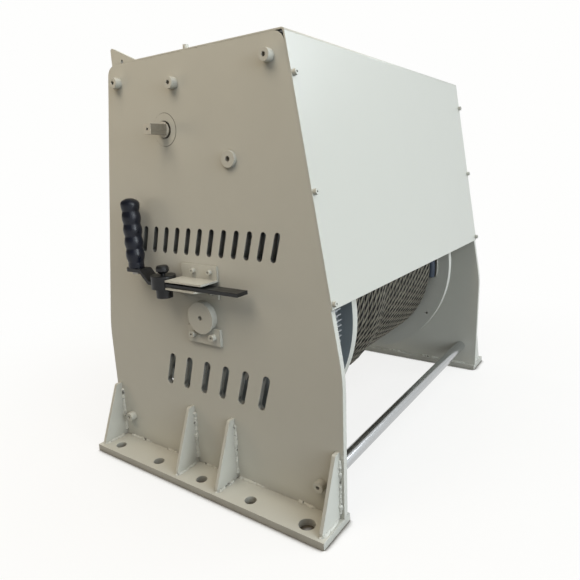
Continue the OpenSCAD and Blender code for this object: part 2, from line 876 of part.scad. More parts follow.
// Middle line of the taped end: l is the length of rope back from its tip.
function tape_point(l) =
    let (y = far_flange_y - rope_gap - tape_t - rope_d / 2 - rope_pitch * rope_a(l) / 360)
    let (lift = rope_end_lift * eased(1 - rope_a(l) / 360 / end_lift_share))
    let (p = polar(rope_r + lift, rope_end_a + rope_a(l)))
    [p.x, y, drum_z + p.y];

// Six-sided ring of a tube that winds round an axis along Y: p is its middle and a its angle.
function tube_ring(p, a, r) =
    [for (k = [0:rope_sides - 1])
        let (e = polar(r, k * 360 / rope_sides))
        p + [e.x * cos(a), e.y, e.x * sin(a)]];

// Closed tube through rings of equal size.
module ring_tube(rings) {
    n = len(rings[0]);
    last = (len(rings) - 1) * n;
    sides = [for (i = [0:len(rings) - 2], k = [0:n - 1])
        let (a = i * n + k, b = i * n + (k + 1) % n)
        each [[a, a + n, b + n], [a, b + n, b]]];
    caps = concat(
        [for (k = [1:n - 2]) [0, k, k + 1]],
        [for (k = [1:n - 2]) [last, last + k + 1, last + k]]);
    polyhedron(points = [for (ring = rings) each ring], faces = concat(sides, caps));
}

// Taped end of the rope, a little thicker than the bare rope.
module rope_end_tape() {
    color([0.10, 0.12, 0.18]) ring_tube([for (i = [tape_steps:-1:0])
        let (l = tape_l * i / tape_steps)
        tube_ring(tape_point(l), rope_end_a + rope_a(l), rope_d / 2 + tape_t)]);
}

module gear_bolt_bars(y, l, d) {
    for (i = [0:bolt_count - 1]) {
        p = polar(bolt_ring_d / 2, (i + 0.5) * 360 / bolt_count);
        bar_y(p.x, drum_z + p.y, y, l, d);
    }
}

// Toothed rim, thinner web and a thick ring under the bolts.
module drum_gear() {
    web_y = drum_gear_y + (drum_gear_w - web_t) / 2;
    color(dark_steel) difference() {
        union() {
            along_y(drum_gear_y, drum_gear_w) translate([0, drum_z]) difference() {
                polygon(gear_outline(drum_module, drum_teeth, drum_mesh_a));
                circle(r = drum_gear_r - rim_t);
            }
            bar_y(0, drum_z, web_y, web_t, 2 * (drum_gear_r - rim_t) + cut);
            tube_y(0, drum_z, drum_gear_y, drum_gear_w, bolt_ring_d + 3 * bolt_d, bolt_ring_d - 3 * bolt_d);
        }
        bar_y(0, drum_z, drum_gear_y - cut, drum_gear_w + 2 * cut, axle_d + 2 * spacer_wall + 2 * bore_gap);
        gear_bolt_bars(drum_gear_y - cut, drum_gear_w + 2 * cut, bolt_d + 2 * fit);
    }
}

// Sleeves on the bolts between the gear and the drum flange.
module gear_spacers() {
    color(steel) difference() {
        gear_bolt_bars(drum_gear_y + drum_gear_w, gear_spacer_w, 2 * bolt_d);
        gear_bolt_bars(drum_gear_y, near_flange_y - drum_gear_y + cut, bolt_d + 2 * fit);
    }
}

module gear_bolts() {
    l = near_flange_y + flange_t - drum_gear_y;
    color(steel) {
        gear_bolt_bars(drum_gear_y, l, bolt_d);
        for (i = [0:bolt_count - 1]) {
            p = polar(bolt_ring_d / 2, (i + 0.5) * 360 / bolt_count);
            facing(-1, p.x, drum_z + p.y, drum_gear_y)
                cylinder(h = bolt_head_t, d = bolt_d * head_d_share * 2 / sqrt(3), $fn = 6);
        }
    }
}

mid_bush_d = mid_axle_d + bush_wall;
mid_hub_d = mid_bush_d + 2 * mid_hub_wall;
mid_cluster_l = drum_gear_y + drum_gear_w + pinion_over - mid_gear_y;

// Larger gear of the cluster; a tooth gap faces the input pinion.
module intermediate_gear() {
    color(dark_steel) difference() {
        along_y(mid_gear_y, mid_gear_w) translate([mid_x, mid_z])
            polygon(gear_outline(input_module, mid_teeth, input_mesh_a));
        bar_y(mid_x, mid_z, mid_gear_y - cut, mid_gear_w + 2 * cut, mid_hub_d + 2 * fit);
    }
}

module intermediate_pinion() {
    teeth_y = drum_gear_y - pinion_over;
    color(dark_steel) difference() {
        union() {
            along_y(teeth_y, drum_gear_w + 2 * pinion_over) translate([mid_x, mid_z])
                polygon(gear_outline(drum_module, pinion_teeth, drum_mesh_a + 180 + 180 / pinion_teeth));
            bar_y(mid_x, mid_z, mid_gear_y, teeth_y - mid_gear_y + cut, mid_hub_d);
        }
        bar_y(mid_x, mid_z, mid_gear_y - cut, mid_cluster_l + 2 * cut, mid_bush_d + 2 * fit);
    }
}

module intermediate_bush() {
    color(bronze)
        tube_y(mid_x, mid_z, mid_gear_y, mid_cluster_l, mid_bush_d, mid_axle_d + 2 * fit);
}

// Shaft with a bevelled square for the crank in front of the near plate.
module input_shaft() {
    round_y = near_face - cap_t;
    bevel = square_w * chamfer_share * 2;
    color(steel) difference() {
        union() {
            bar_y(input_x, input_z, round_y, far_face - round_y, input_d);
            intersection() {
                translate([input_x - square_w / 2, near_face - square_out, input_z - square_w / 2])
                    cube([square_w, square_out, square_w]);
                translate([input_x, near_face - square_out, input_z]) rotate([-90, 0, 0])
                    cylinder(h = square_out, d1 = input_d - bevel, d2 = input_d + square_out, $fn = 64);
            }
        }
        bar_y(input_x, input_z, near_face - square_out - cut, centre_hole_l + cut, centre_hole_d / 2);
    }
}

module input_pinion() {
    y = mid_gear_y - input_over;
    start = near_face + cap_t + bearing_w;
    color(dark_steel) difference() {
        union() {
            along_y(y, mid_gear_w + 2 * input_over) translate([input_x, input_z])
                polygon(gear_outline(input_module, input_teeth, input_mesh_a + 180 + 180 / input_teeth));
            bar_y(input_x, input_z, start, brake_y - start, inner_ring_d);
        }
        bar_y(input_x, input_z, start - cut, brake_y - start + 2 * cut, input_d + 2 * fit);
    }
}

module bearing_inner_rings() {
    color(steel) at_both_bearings()
        tube_y(input_x, input_z, near_face + cap_t, bearing_w, inner_ring_d, input_d + 2 * fit);
}

module brake_flange() {
    color(dark_steel) tube_y(input_x, input_z, brake_y, brake_flange_t, brake_disc_d, input_d + 2 * fit);
}

module brake_nut() {
    y = ratchet_y + ratchet_t + disc_t + gap;
    color(dark_steel) tube_y(input_x, input_z, y, nut_l, nut_d, input_d + 2 * fit);
}

module shaft_collar() {
    y = far_face - cap_t - bearing_w - collar_l;
    color(steel) tube_y(input_x, input_z, y, collar_l, input_d + collar_wall, input_d + 2 * fit);
}

// Pawl in the root of one ratchet tooth.
module pawl() {
    centre = [input_x, input_z];
    root = ratchet_d / 2 - ratchet_depth + pawl_clear;
    a = ratchet_face_a + 1;
    back = centre + polar(ratchet_d / 2 + pawl_clear, a);
    square = polar(pawl_r, ratchet_face_a);
    color(dark_steel) difference() {
        union() {
            along_y(ratchet_y + (ratchet_t - pawl_l) / 2, pawl_l) polygon(
                [back, centre + polar(root, a), centre + polar(root + ratchet_depth / 3, a + 10),
                    centre + polar(root + 1.4 * ratchet_depth, a + 22), pawl_at - square, pawl_at + square]);
            bar_y(pawl_at.x, pawl_at.y, ratchet_y + (ratchet_t - pawl_l) / 2, pawl_l, 2 * pawl_r);
        }
        bar_y(pawl_at.x, pawl_at.y, ratchet_y - cut, ratchet_t + 2 * cut, pawl_pin_d + 2 * fit);
    }
}

// Rings of the pawl's return spring, which coils round its pin.
spring_r = (pawl_pin_d / 2 + pawl_clear) / cos(180 / spring_rings) + spring_wire_d / 2;
spring_coil = [for (i = [0:spring_turns * spring_rings])
    let (a = 360 * i / spring_rings, p = pawl_at + polar(spring_r, a))
    let (y = spring_y + spring_wire_d / 2 + spring_pitch * i / spring_rings)
    tube_ring([p.x, y, p.y], a, spring_wire_d / 2)];
spring_least_gap = min([for (i = [0:(spring_turns - 1) * spring_rings])
    for (p = spring_coil[i], q = spring_coil[i + spring_rings]) norm(p - q)]);
echo(spring_least_gap = spring_least_gap);

module pawl_spring() {
    color(steel) ring_tube(spring_coil);
}

module crank_hub() {
    z0 = arm_z - hub_under;
    socket_w = square_w + 2 * gap;
    color(black) difference() {
        union() {
            translate([hub_x, crank_y, z0]) cylinder(h = hub_h, d = hub_d);
            translate([hub_x, crank_y, z0 - socket_l]) cylinder(h = socket_l + cut, d = socket_d);
        }
        translate([hub_x - hub_d, crank_y - arm_w / 2 - gap, arm_z - gap])
            cube([2 * hub_d, arm_w + 2 * gap, arm_t + 2 * gap]);
        translate([hub_x - socket_w / 2, crank_y - socket_w / 2, z0 - socket_l - cut])
            cube([socket_w, socket_w, socket_l + 2 * cut]);
        translate([hub_x, crank_y, arm_z]) cylinder(h = hub_h, d = stem_d + 2 * fit);
    }
}

module clamp_knob() {
    z = arm_z + arm_t + gap;
    head_z = arm_z - hub_under + hub_h + knob_gap - z;
    color(black) translate([hub_x, crank_y, z]) rotate_extrude() polygon(concat(
        [[0, 0], [stem_d / 2, 0], [stem_d / 2, head_z]],
        [for (p = knob_shares) [knob_d * p.x, head_z + knob_h * p.y]]));
}

// Flat bar with a step; its left end is round.
module crank_arm() {
    round_x = arm_left_x + arm_w / 2;
    slope = atan(arm_step / arm_bend_l);
    shift = arm_t * tan(slope / 2);
    high_z = arm_z + arm_step;
    bend_end = arm_bend_x - arm_bend_l;
    color(black) difference() {
        union() {
            along_y(crank_y - arm_w / 2, arm_w) polygon([[arm_right_x, arm_z], [arm_right_x, arm_z + arm_t],
                [arm_bend_x + shift, arm_z + arm_t], [bend_end + shift, high_z + arm_t],
                [round_x, high_z + arm_t], [round_x, high_z], [bend_end, high_z], [arm_bend_x, arm_z]]);
            translate([round_x, crank_y, high_z]) cylinder(h = arm_t, d = arm_w);
        }
        translate([grip_x, crank_y, high_z - cut]) cylinder(h = arm_t + 2 * cut, d = spindle_d + 2 * fit);
    }
}

grip_z = arm_z + arm_step + arm_t + gap;
spindle_l = grip_l * 0.9;

// Bolt on which the grip turns, with its head under the bar.
module grip_spindle() {
    color(steel) translate([grip_x, crank_y, arm_z + arm_step - spindle_head_t]) {
        cylinder(h = spindle_head_t, d = spindle_d * 1.6);
        cylinder(h = spindle_head_t + arm_t + gap + spindle_l, d = spindle_d);
    }
}

// Grip radius at share t of its height: a plain collar, five lobes and a domed top.
function grip_r(t) =
    let (collar = collar_h / grip_l, lobe = (t - collar) / (1 - collar) * grip_lobes)
    let (dome = max(0, t - dome_share) / (1 - dome_share) * dome_flat_share)
    t < collar ? grip_d * collar_r_share :
    grip_d * (0.5 - lobe_h_share * (1 - abs(sin(lobe * 180)))) * sqrt(1 - dome * dome);

module grip() {
    steps = 60;
    color(black) translate([grip_x, crank_y, grip_z]) difference() {
        rotate_extrude() polygon(concat([[0, 0]],
            [for (i = [0:steps]) [grip_r(i / steps), grip_l * i / steps]], [[0, grip_l]]));
        translate([0, 0, -cut]) cylinder(h = spindle_l + gap + cut, d = spindle_d + 2 * fit);
    }
}

near_side_plate();
far_side_plate();
near_foot();
far_foot();
near_gussets();
far_gussets();
corner_lugs();
cover();
cover_screws();
lower_tie_rods();
upper_tie_rods();
tie_rod_screws();
drum_axle();
axle_spacers();
keeper_plate();
keeper_screws();
intermediate_axle();
intermediate_collars();
bearing_housings();
bearing_outer_rings();
bearing_balls();
bearing_caps();
ratchet_wheel();
friction_discs();
pawl_pin();
pawl_pin_clip();
upper_crank_shelf();
lower_crank_shelf();
holder_screws();
drum_barrel();
near_drum_flange();
far_drum_flange();
drum_bushes();
rope_core();
rope_winding();
rope_end_tape();
drum_gear();
gear_spacers();
gear_bolts();
intermediate_gear();
intermediate_pinion();
intermediate_bush();
input_shaft();
input_pinion();
bearing_inner_rings();
brake_flange();
brake_nut();
shaft_collar();
pawl();
pawl_spring();
crank_hub();
clamp_knob();
crank_arm();
grip_spindle();
grip();
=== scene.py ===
# %% [markdown]
# # A mooring winch, dressed in Blender
#
# The winch is a drum of wire rope between two welded side plates, with a folded sheet over the gears
# and a hand crank stowed on the front. Its construction comes from the CAD model, which is loaded here
# as a fixed frame in metres. Blender adds what the eye reads at once: sprayed enamel, weld beads, the
# twisted strands of the rope, and the light of a plain studio.

# %% Load the frame
import json
import math

import bmesh
import bpy
from mathutils import Matrix, Vector, noise


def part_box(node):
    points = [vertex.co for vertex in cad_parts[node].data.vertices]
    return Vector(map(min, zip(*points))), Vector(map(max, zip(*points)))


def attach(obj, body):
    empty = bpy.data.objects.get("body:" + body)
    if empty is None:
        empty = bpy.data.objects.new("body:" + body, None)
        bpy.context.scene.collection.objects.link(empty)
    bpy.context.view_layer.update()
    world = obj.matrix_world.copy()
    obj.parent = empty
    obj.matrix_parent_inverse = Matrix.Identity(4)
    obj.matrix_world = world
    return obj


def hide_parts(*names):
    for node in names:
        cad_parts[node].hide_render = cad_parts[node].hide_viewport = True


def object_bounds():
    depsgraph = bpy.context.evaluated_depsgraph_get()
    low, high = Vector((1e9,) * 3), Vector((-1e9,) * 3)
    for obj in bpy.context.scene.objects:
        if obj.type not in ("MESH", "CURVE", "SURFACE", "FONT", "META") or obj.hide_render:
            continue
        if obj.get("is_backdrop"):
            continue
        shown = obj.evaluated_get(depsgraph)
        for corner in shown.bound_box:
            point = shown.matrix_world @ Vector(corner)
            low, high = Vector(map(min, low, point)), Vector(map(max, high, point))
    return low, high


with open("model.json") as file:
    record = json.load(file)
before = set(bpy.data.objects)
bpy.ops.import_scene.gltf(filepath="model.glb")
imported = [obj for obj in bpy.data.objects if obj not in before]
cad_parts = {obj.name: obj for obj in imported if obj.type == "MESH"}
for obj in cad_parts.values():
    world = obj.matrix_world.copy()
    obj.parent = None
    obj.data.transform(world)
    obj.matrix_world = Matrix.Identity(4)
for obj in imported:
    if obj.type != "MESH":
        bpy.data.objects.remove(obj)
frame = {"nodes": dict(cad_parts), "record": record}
cad_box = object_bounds()
MM = 0.001

# %% [markdown]
# ## The camera
#
# The camera stands at the front right of the winch, a little below its top edge, and looks slightly
# down. It leans by two degrees, as a camera held in the hand does. Its focal length is given in pixels
# of a square picture of 580 pixels, because that is how it was measured, and the lens follows from it.

# %% Camera
PICTURE_SIDE = 580
FOCAL_PIXELS = 510.56
SENSOR_WIDTH_MM = 36
NEAREST_SEEN = 50 * MM
CAMERA_PLACE = Vector((0.5984, -0.9632, 0.5458))
CAMERA_AZIMUTH = math.radians(35.05)
CAMERA_DOWN = math.radians(13.69)
CAMERA_ROLL = math.radians(-2.17)


def make_camera():
    """A camera at the measured place, turned down and rolled a little."""
    data = bpy.data.cameras.new("camera")
    data.sensor_width = SENSOR_WIDTH_MM
    data.lens = FOCAL_PIXELS * SENSOR_WIDTH_MM / PICTURE_SIDE
    data.clip_start = NEAREST_SEEN
    camera = bpy.data.objects.new("camera", data)
    bpy.context.collection.objects.link(camera)
    ahead = Vector((-math.sin(CAMERA_AZIMUTH) * math.cos(CAMERA_DOWN),
                    math.cos(CAMERA_AZIMUTH) * math.cos(CAMERA_DOWN), -math.sin(CAMERA_DOWN)))
    aim = ahead.to_track_quat("-Z", "Y").to_matrix().to_4x4()
    camera.matrix_world = Matrix.Translation(CAMERA_PLACE) @ aim @ Matrix.Rotation(CAMERA_ROLL, 4, "Z")
    return camera


bpy.context.scene.camera = make_camera()
print("lens:", round(bpy.context.scene.camera.data.lens, 2), "mm")

# %% [markdown]
# ## Two small helpers for shaders
#
# Colours are written as hex values, as a paint card gives them, and the renderer wants linear light.
# Every shader below is a short chain of nodes, so one function adds a node, sets it and links it.

# %% Colour and node helpers
def linear(hex_colour):
    """Linear RGBA of an sRGB colour such as #C9CBC3."""
    values = [int(hex_colour[i:i + 2], 16) / 255 for i in (1, 3, 5)]
    return (*[v / 12.92 if v <= 0.04045 else ((v + 0.055) / 1.055) ** 2.4 for v in values], 1.0)


def add_node(tree, kind, inputs=None, **settings):
    """Adds a node with its settings; an input is a value or the output of another node."""
    made = tree.nodes.new(kind)
    for name, value in settings.items():
        setattr(made, name, value)
    for key, value in (inputs or {}).items():
        if isinstance(value, bpy.types.NodeSocket):
            tree.links.new(value, made.inputs[key])
        else:
            made.inputs[key].default_value = value
    return made


print("middle grey in linear light:", round(linear("#808080")[0], 3))

# %% [markdown]
# ## The studio
#
# The winch stands on a plain pale floor. The light comes from a room with bright windows on the right
# and a dim, warm wall in front, so the cover's side is cool and bright and the front plate is warm and
# shaded. The room is a world shader whose colour depends on the direction. The camera itself sees a
# plain pale background, which a Light Path node picks out, and the floor fades into the same tone.

# %% World
BACKGROUND = linear("#FEFEFD")
CEILING_LIGHT = (0.65, 0.66, 0.65, 1)
# Each part of the room has a direction, a light and a spread. The spread says where it starts and
# where it is full: 1 is the middle of its direction, 0 is square to it and -1 is right behind.
ROOM = (("a dim warm wall", (-0.25, -0.95, 0.10), (0.095, 0.082, 0.064, 1), (-0.55, 0.35)),
        ("cool windows", (0.93, -0.01, 0.36), (1.42, 1.50, 1.56, 1), (0.55, 0.9)))


def make_world():
    """A room of soft light, and a plain background for the camera."""
    world = bpy.data.worlds.new("studio")
    world.use_nodes = True
    tree = world.node_tree
    tree.nodes.clear()
    direction = add_node(tree, "ShaderNodeTexCoord").outputs["Generated"]
    room = CEILING_LIGHT
    for _, towards, light, (start, full) in ROOM:
        facing = add_node(tree, "ShaderNodeVectorMath", {0: direction, 1: Vector(towards).normalized()},
                          operation="DOT_PRODUCT").outputs["Value"]
        share = add_node(tree, "ShaderNodeMapRange",
                         {"Value": facing, "From Min": start, "From Max": full},
                         interpolation_type="SMOOTHSTEP").outputs["Result"]
        room = add_node(tree, "ShaderNodeMix", {0: share, 6: room, 7: light},
                        data_type="RGBA").outputs[2]
    lighting = add_node(tree, "ShaderNodeBackground", {"Color": room}).outputs[0]
    seen = add_node(tree, "ShaderNodeBackground", {"Color": BACKGROUND}).outputs[0]
    is_camera = add_node(tree, "ShaderNodeLightPath").outputs["Is Camera Ray"]
    mixed = add_node(tree, "ShaderNodeMixShader", {0: is_camera, 1: lighting, 2: seen})
    add_node(tree, "ShaderNodeOutputWorld", {"Surface": mixed.outputs[0]})
    return world


bpy.context.scene.world = make_world()
bpy.context.scene.view_settings.view_transform = "Standard"
print("room: a pale ceiling,", ", ".join(name for name, *_ in ROOM))

# %% [markdown]
# ## Soft lamps
#
# A few round softboxes add what an even room can't: soft shadows under the crank, a lit far side and
# a gradient down the front plate. Most of them stay out of reflections, so the paint's gloss shows
# the room alone. The window's glint does the opposite: it is seen only in gloss, as the thin bright
# line along the rods and bends.

# %% Softboxes
# Name, place, aim, diameter in metres, watts, colour, lights gloss, lights matt paint.
SOFTBOXES = (
    ("warm_left_softbox", (-1.70, -1.20, 0.62), (-0.05, -0.36, 0.45), 0.8, 6.0, "#FFE9C8", False, True),
    ("warm_upper_softbox", (-0.08, -1.14, 1.75), (-0.05, -0.36, 0.60), 1.2, 13.8, "#FFEFD9", False, True),
    ("cool_side_softbox", (2.20, -0.47, 0.90), (0.2, -0.2, 0.35), 1.2, 17.5, "#F2FAFF", True, True),
    ("cool_back_softbox", (1.60, 1.40, 1.90), (0.1, -0.2, 0.60), 0.6, 8.0, "#F2FAFF", False, True),
    ("plain_far_softbox", (-0.20, 2.60, 0.60), (0.0, 0.37, 0.40), 1.0, 12.0, "#FFF5E8", False, True),
    ("plain_left_softbox", (-2.30, 0.75, 0.85), (-0.1, 0.0, 0.40), 1.0, 14.0, "#FFF5E8", False, True),
    ("window_glint", (1.63, 1.56, 1.72), (0.2, -0.36, 0.70), 0.7, 6.0, "#F2F6FF", True, False))


def add_softbox(name, place, aim, size, watts, colour, in_gloss, in_matt):
    """A round area lamp at a place, turned to what it lights."""
    data = bpy.data.lights.new(name, "AREA")
    data.shape = "DISK"
    data.size = size
    data.energy = watts
    data.color = linear(colour)[:3]
    lamp = bpy.data.objects.new(name, data)
    lamp.location = place
    lamp.rotation_euler = (Vector(aim) - Vector(place)).to_track_quat("-Z", "Y").to_euler()
    lamp.visible_glossy, lamp.visible_diffuse = in_gloss, in_matt
    bpy.context.collection.objects.link(lamp)


for softbox in SOFTBOXES:
    add_softbox(*softbox)
print("softboxes:", len(SOFTBOXES), "with", sum(softbox[4] for softbox in SOFTBOXES), "W")

# %% [markdown]
# ## The floor
#
# The floor shows pale to the camera, with a faint shadow under the feet that fades out to the
# background. What it throws back at the winch is darker and warmer, as a workshop floor would.

# %% Floor material
FLOOR_FADE = (0.35, 1.25)
LEAST_GLOW = 0.80
GLOW_LOST_IN_GLOSS = 0.3
SHUT_WITHIN = 25 * MM
OPEN_SHARES = (0.58, 0.78)


def pale_floor_material():
    """Plain pale floor for the camera and for gloss, darker and warmer for light that bounces."""
    material = bpy.data.materials.new("pale_matt_floor")
    material.use_nodes = True
    tree = material.node_tree
    tree.nodes.clear()
    place = add_node(tree, "ShaderNodeTexCoord").outputs["Object"]
    reach = add_node(tree, "ShaderNodeVectorMath", {0: place}, operation="LENGTH").outputs["Value"]
    fade = add_node(tree, "ShaderNodeMapRange",
                    {"Value": reach, "From Min": FLOOR_FADE[0], "From Max": FLOOR_FADE[1],
                     "To Min": LEAST_GLOW}, interpolation_type="SMOOTHSTEP").outputs[0]
    # Painted shade: the bolt holes and the line where a foot meets the floor are darkened where ambient
    # occlusion finds them shut in.
    sky = add_node(tree, "ShaderNodeAmbientOcclusion", {"Distance": SHUT_WITHIN}, samples=8).outputs["AO"]
    open_sky = add_node(tree, "ShaderNodeMapRange",
                        {"Value": sky, "From Min": OPEN_SHARES[0], "From Max": OPEN_SHARES[1]}).outputs[0]
    lit = add_node(tree, "ShaderNodeMath", {0: fade, 1: open_sky}, operation="MULTIPLY").outputs[0]
    tone = add_node(tree, "ShaderNodeMix", {0: open_sky, 6: linear("#59544A"), 7: linear("#F7F7F5")},
                    data_type="RGBA").outputs[2]
    matt = add_node(tree, "ShaderNodeBsdfDiffuse", {"Color": tone}).outputs[0]
    path = add_node(tree, "ShaderNodeLightPath").outputs
    # Reflections see the floor a little darker than the camera does, as under a real lamp.
    power = add_node(tree, "ShaderNodeMath", {0: path["Is Glossy Ray"], 1: -GLOW_LOST_IN_GLOSS, 2: 1.0},
                     operation="MULTIPLY_ADD").outputs[0]
    glow = add_node(tree, "ShaderNodeEmission", {"Color": BACKGROUND, "Strength": power}).outputs[0]
    pale = add_node(tree, "ShaderNodeMixShader", {0: lit, 1: matt, 2: glow}).outputs[0]
    bounce = add_node(tree, "ShaderNodeBsdfDiffuse", {"Color": linear("#504B41")}).outputs[0]
    seen = add_node(tree, "ShaderNodeMath", {0: path["Is Camera Ray"], 1: path["Is Glossy Ray"]},
                    operation="MAXIMUM").outputs[0]
    mixed = add_node(tree, "ShaderNodeMixShader", {0: seen, 1: bounce, 2: pale})
    add_node(tree, "ShaderNodeOutputMaterial", {"Surface": mixed.outputs[0]})
    return material


floor_material = pale_floor_material()
print("floor fades out over", FLOOR_FADE, "m")

# %% Floor
FLOOR_REACH = 30.0


def make_floor():
    """One large flat square under the winch; it is part of the stage."""
    mesh = bpy.data.meshes.new("floor")
    r = FLOOR_REACH
    mesh.from_pydata([(-r, -r, 0), (r, -r, 0), (r, r, 0), (-r, r, 0)], [], [(0, 1, 2, 3)])
    mesh.materials.append(floor_material)
    floor = bpy.data.objects.new("floor", mesh)
    bpy.context.collection.objects.link(floor)
    floor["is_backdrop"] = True


make_floor()
print("floor:", 2 * FLOOR_REACH, "m wide")

# %% [markdown]
# ## Sprayed enamel
#
# The frame is welded steel under a thick coat of light grey alkyd enamel. Sprayed enamel is glossy but
# never quite flat: it has a fine orange peel and it pools a little at edges. Its inner corners are
# darkened, as dust and painted shade. The colour is nearly even, so the life of it is in the gloss. A
# Bevel node rounds the edges for the light only, as the real edges are broken with a grinder before they
# are painted.

# %% Starting a material
SAMPLES_AT_EDGES = 4
EDGE_ROUNDING = 1.2 * MM
NOISE_LOW, NOISE_HIGH = 0.3, 0.7    # most of a noise lies between these two


def start_material(name):
    """A new material with its tree, its shader and its place coordinates in metres."""
    material = bpy.data.materials.new(name)
    material.use_nodes = True
    tree = material.node_tree
    shader = tree.nodes["Principled BSDF"]
    place = add_node(tree, "ShaderNodeTexCoord").outputs["Object"]
    return material, tree, shader, place


def per_metre(size_mm):
    """Scale of a noise whose features are so many millimetres wide."""
    return 1 / (size_mm * MM)


def vary_gloss(tree, pattern, smoothest, roughest):
    """Lets a pattern move the roughness between two values."""
    gloss = add_node(tree, "ShaderNodeMapRange", {"Value": pattern, "From Min": NOISE_LOW,
                     "From Max": NOISE_HIGH, "To Min": smoothest, "To Max": roughest}).outputs["Result"]
    tree.links.new(gloss, tree.nodes["Principled BSDF"].inputs["Roughness"])


def vary_tone(tree, pattern, colour, darkest, lightest):
    """A colour that a pattern makes a little darker or lighter from place to place."""
    shade = add_node(tree, "ShaderNodeMapRange", {"Value": pattern, "From Min": NOISE_LOW,
                     "From Max": NOISE_HIGH, "To Min": darkest, "To Max": lightest}).outputs["Result"]
    return add_node(tree, "ShaderNodeVectorMath", {0: linear(colour)[:3], "Scale": shade},
                    operation="SCALE").outputs[0]


print("a 4 mm pattern has the scale", per_metre(4))

# %% Enamel
ENAMEL_GREY = "#CDCEC6"
DUST_AND_SHADE_TONE = "#6E675C"
ORANGE_PEEL_MM = 4      # really about 1.5 mm; drawn coarser so that it shows
SHEET_WAVE_MM = 120     # rolled sheet is never quite flat
DUST_CLOUD_MM = 60
CORNER_REACH = 35 * MM


def spray_surface(tree, place, peel, rounding):
    """The sprayed surface: rounded edges, long shallow waves, and orange peel on top."""
    peel_noise = add_node(tree, "ShaderNodeTexNoise",
                          {"Vector": place, "Scale": per_metre(ORANGE_PEEL_MM), "Detail": 2.0})
    wave = add_node(tree, "ShaderNodeTexNoise",
                    {"Vector": place, "Scale": per_metre(SHEET_WAVE_MM), "Detail": 1.0})
    edge = add_node(tree, "ShaderNodeBevel", {"Radius": rounding}, samples=SAMPLES_AT_EDGES)
    waved = add_node(tree, "ShaderNodeBump", {"Height": wave.outputs["Fac"], "Normal": edge.outputs[0],
                     "Strength": 0.25, "Distance": 3 * MM})
    return add_node(tree, "ShaderNodeBump", {"Height": peel_noise.outputs["Fac"],
                    "Normal": waved.outputs[0], "Strength": peel, "Distance": 0.5 * MM}).outputs[0]


def make_enamel(name, roughness=0.36, peel=0.10, rounding=EDGE_ROUNDING, patchy=1.0):
    """Sprayed enamel; patchy says how strongly tone and gloss change from place to place."""
    material, tree, shader, place = start_material(name)
    shader.inputs["IOR"].default_value = 1.5
    tree.links.new(spray_surface(tree, place, peel, rounding), shader.inputs["Normal"])
    # Dust, handling marks and painted shade: inner corners, found by ambient occlusion, are darkened in
    # soft clouds.
    corners = add_node(tree, "ShaderNodeAmbientOcclusion", {"Distance": CORNER_REACH},
                       samples=6).outputs["AO"]
    clouds = add_node(tree, "ShaderNodeTexNoise", {"Vector": place, "Scale": per_metre(DUST_CLOUD_MM),
                      "Detail": 5.0, "Roughness": 0.6}).outputs["Fac"]
    shut = add_node(tree, "ShaderNodeMapRange", {"Value": corners, "From Min": 0.15, "From Max": 0.85,
                    "To Min": 0.75, "To Max": 0.0}).outputs["Result"]
    spread = add_node(tree, "ShaderNodeMapRange", {"Value": clouds, "From Min": 0.35, "From Max": 0.75,
                      "To Min": 0.35, "To Max": 1.15}).outputs["Result"]
    dust_and_shade = add_node(tree, "ShaderNodeMath", {0: shut, 1: spread}, operation="MULTIPLY", use_clamp=True)
    toned = vary_tone(tree, clouds, ENAMEL_GREY, 1 - 0.015 * patchy, 1 + 0.01 * patchy)
    mixed = add_node(tree, "ShaderNodeMix", {0: dust_and_shade.outputs[0], 6: toned, 7: linear(DUST_AND_SHADE_TONE)},
                     data_type="RGBA")
    tree.links.new(mixed.outputs[2], shader.inputs["Base Color"])
    vary_gloss(tree, clouds, roughness - 0.02 * patchy, roughness + 0.03 * patchy)
    return material


grey_enamel = make_enamel("light_grey_enamel")
print("enamel:", len(grey_enamel.node_tree.nodes), "nodes")

# %% [markdown]
# ## Bare metals
#
# The bare parts are plain carbon steel: turned, ground or drawn, each with its own fine lines. The
# lines are one noise, stretched along the shafts and rods. Bronze is used for the bushes. All bare
# metals keep a full metallic value, and only their colour, roughness and lines tell them apart.

# %% Bare metal
STAIN = "#3A332B"
STAIN_CLOUD_MM = 18
METAL_ROUNDING = 0.6 * MM


def make_metal(name, colour, roughness, grain_mm, stained=0.25):
    """Metal with machining lines: grain_mm is their spacing along X, Y and Z."""
    material, tree, shader, place = start_material(name)
    shader.inputs["Metallic"].default_value = 1.0
    stretched = add_node(tree, "ShaderNodeVectorMath", {0: place, 1: [per_metre(g) for g in grain_mm]},
                         operation="MULTIPLY").outputs[0]
    lines = add_node(tree, "ShaderNodeTexNoise",
                     {"Vector": stretched, "Scale": 1.0, "Detail": 3.0}).outputs["Fac"]
    clouds = add_node(tree, "ShaderNodeTexNoise", {"Vector": place, "Scale": per_metre(STAIN_CLOUD_MM),
                      "Detail": 6.0, "Roughness": 0.65}).outputs["Fac"]
    edge = add_node(tree, "ShaderNodeBevel", {"Radius": METAL_ROUNDING}, samples=SAMPLES_AT_EDGES)
    bump = add_node(tree, "ShaderNodeBump", {"Height": lines, "Normal": edge.outputs[0],
                    "Strength": 0.25, "Distance": 0.1 * MM})
    tree.links.new(bump.outputs[0], shader.inputs["Normal"])
    share = add_node(tree, "ShaderNodeMapRange", {"Value": clouds, "From Min": 0.52, "From Max": 0.78,
                     "To Max": stained}).outputs["Result"]
    mixed = add_node(tree, "ShaderNodeMix", {0: share, 6: linear(colour), 7: linear(STAIN)},
                     data_type="RGBA")
    tree.links.new(mixed.outputs[2], shader.inputs["Base Color"])
    vary_gloss(tree, lines, roughness - 0.05, roughness + 0.10)
    return material


# Turned steel: fine rings from the lathe, which break the highlight up.
BRIGHT_STEEL = ("#A8A49C", 0.30, (1.2, 60, 1.2))
turned_steel = make_metal("turned_bright_steel", *BRIGHT_STEEL)
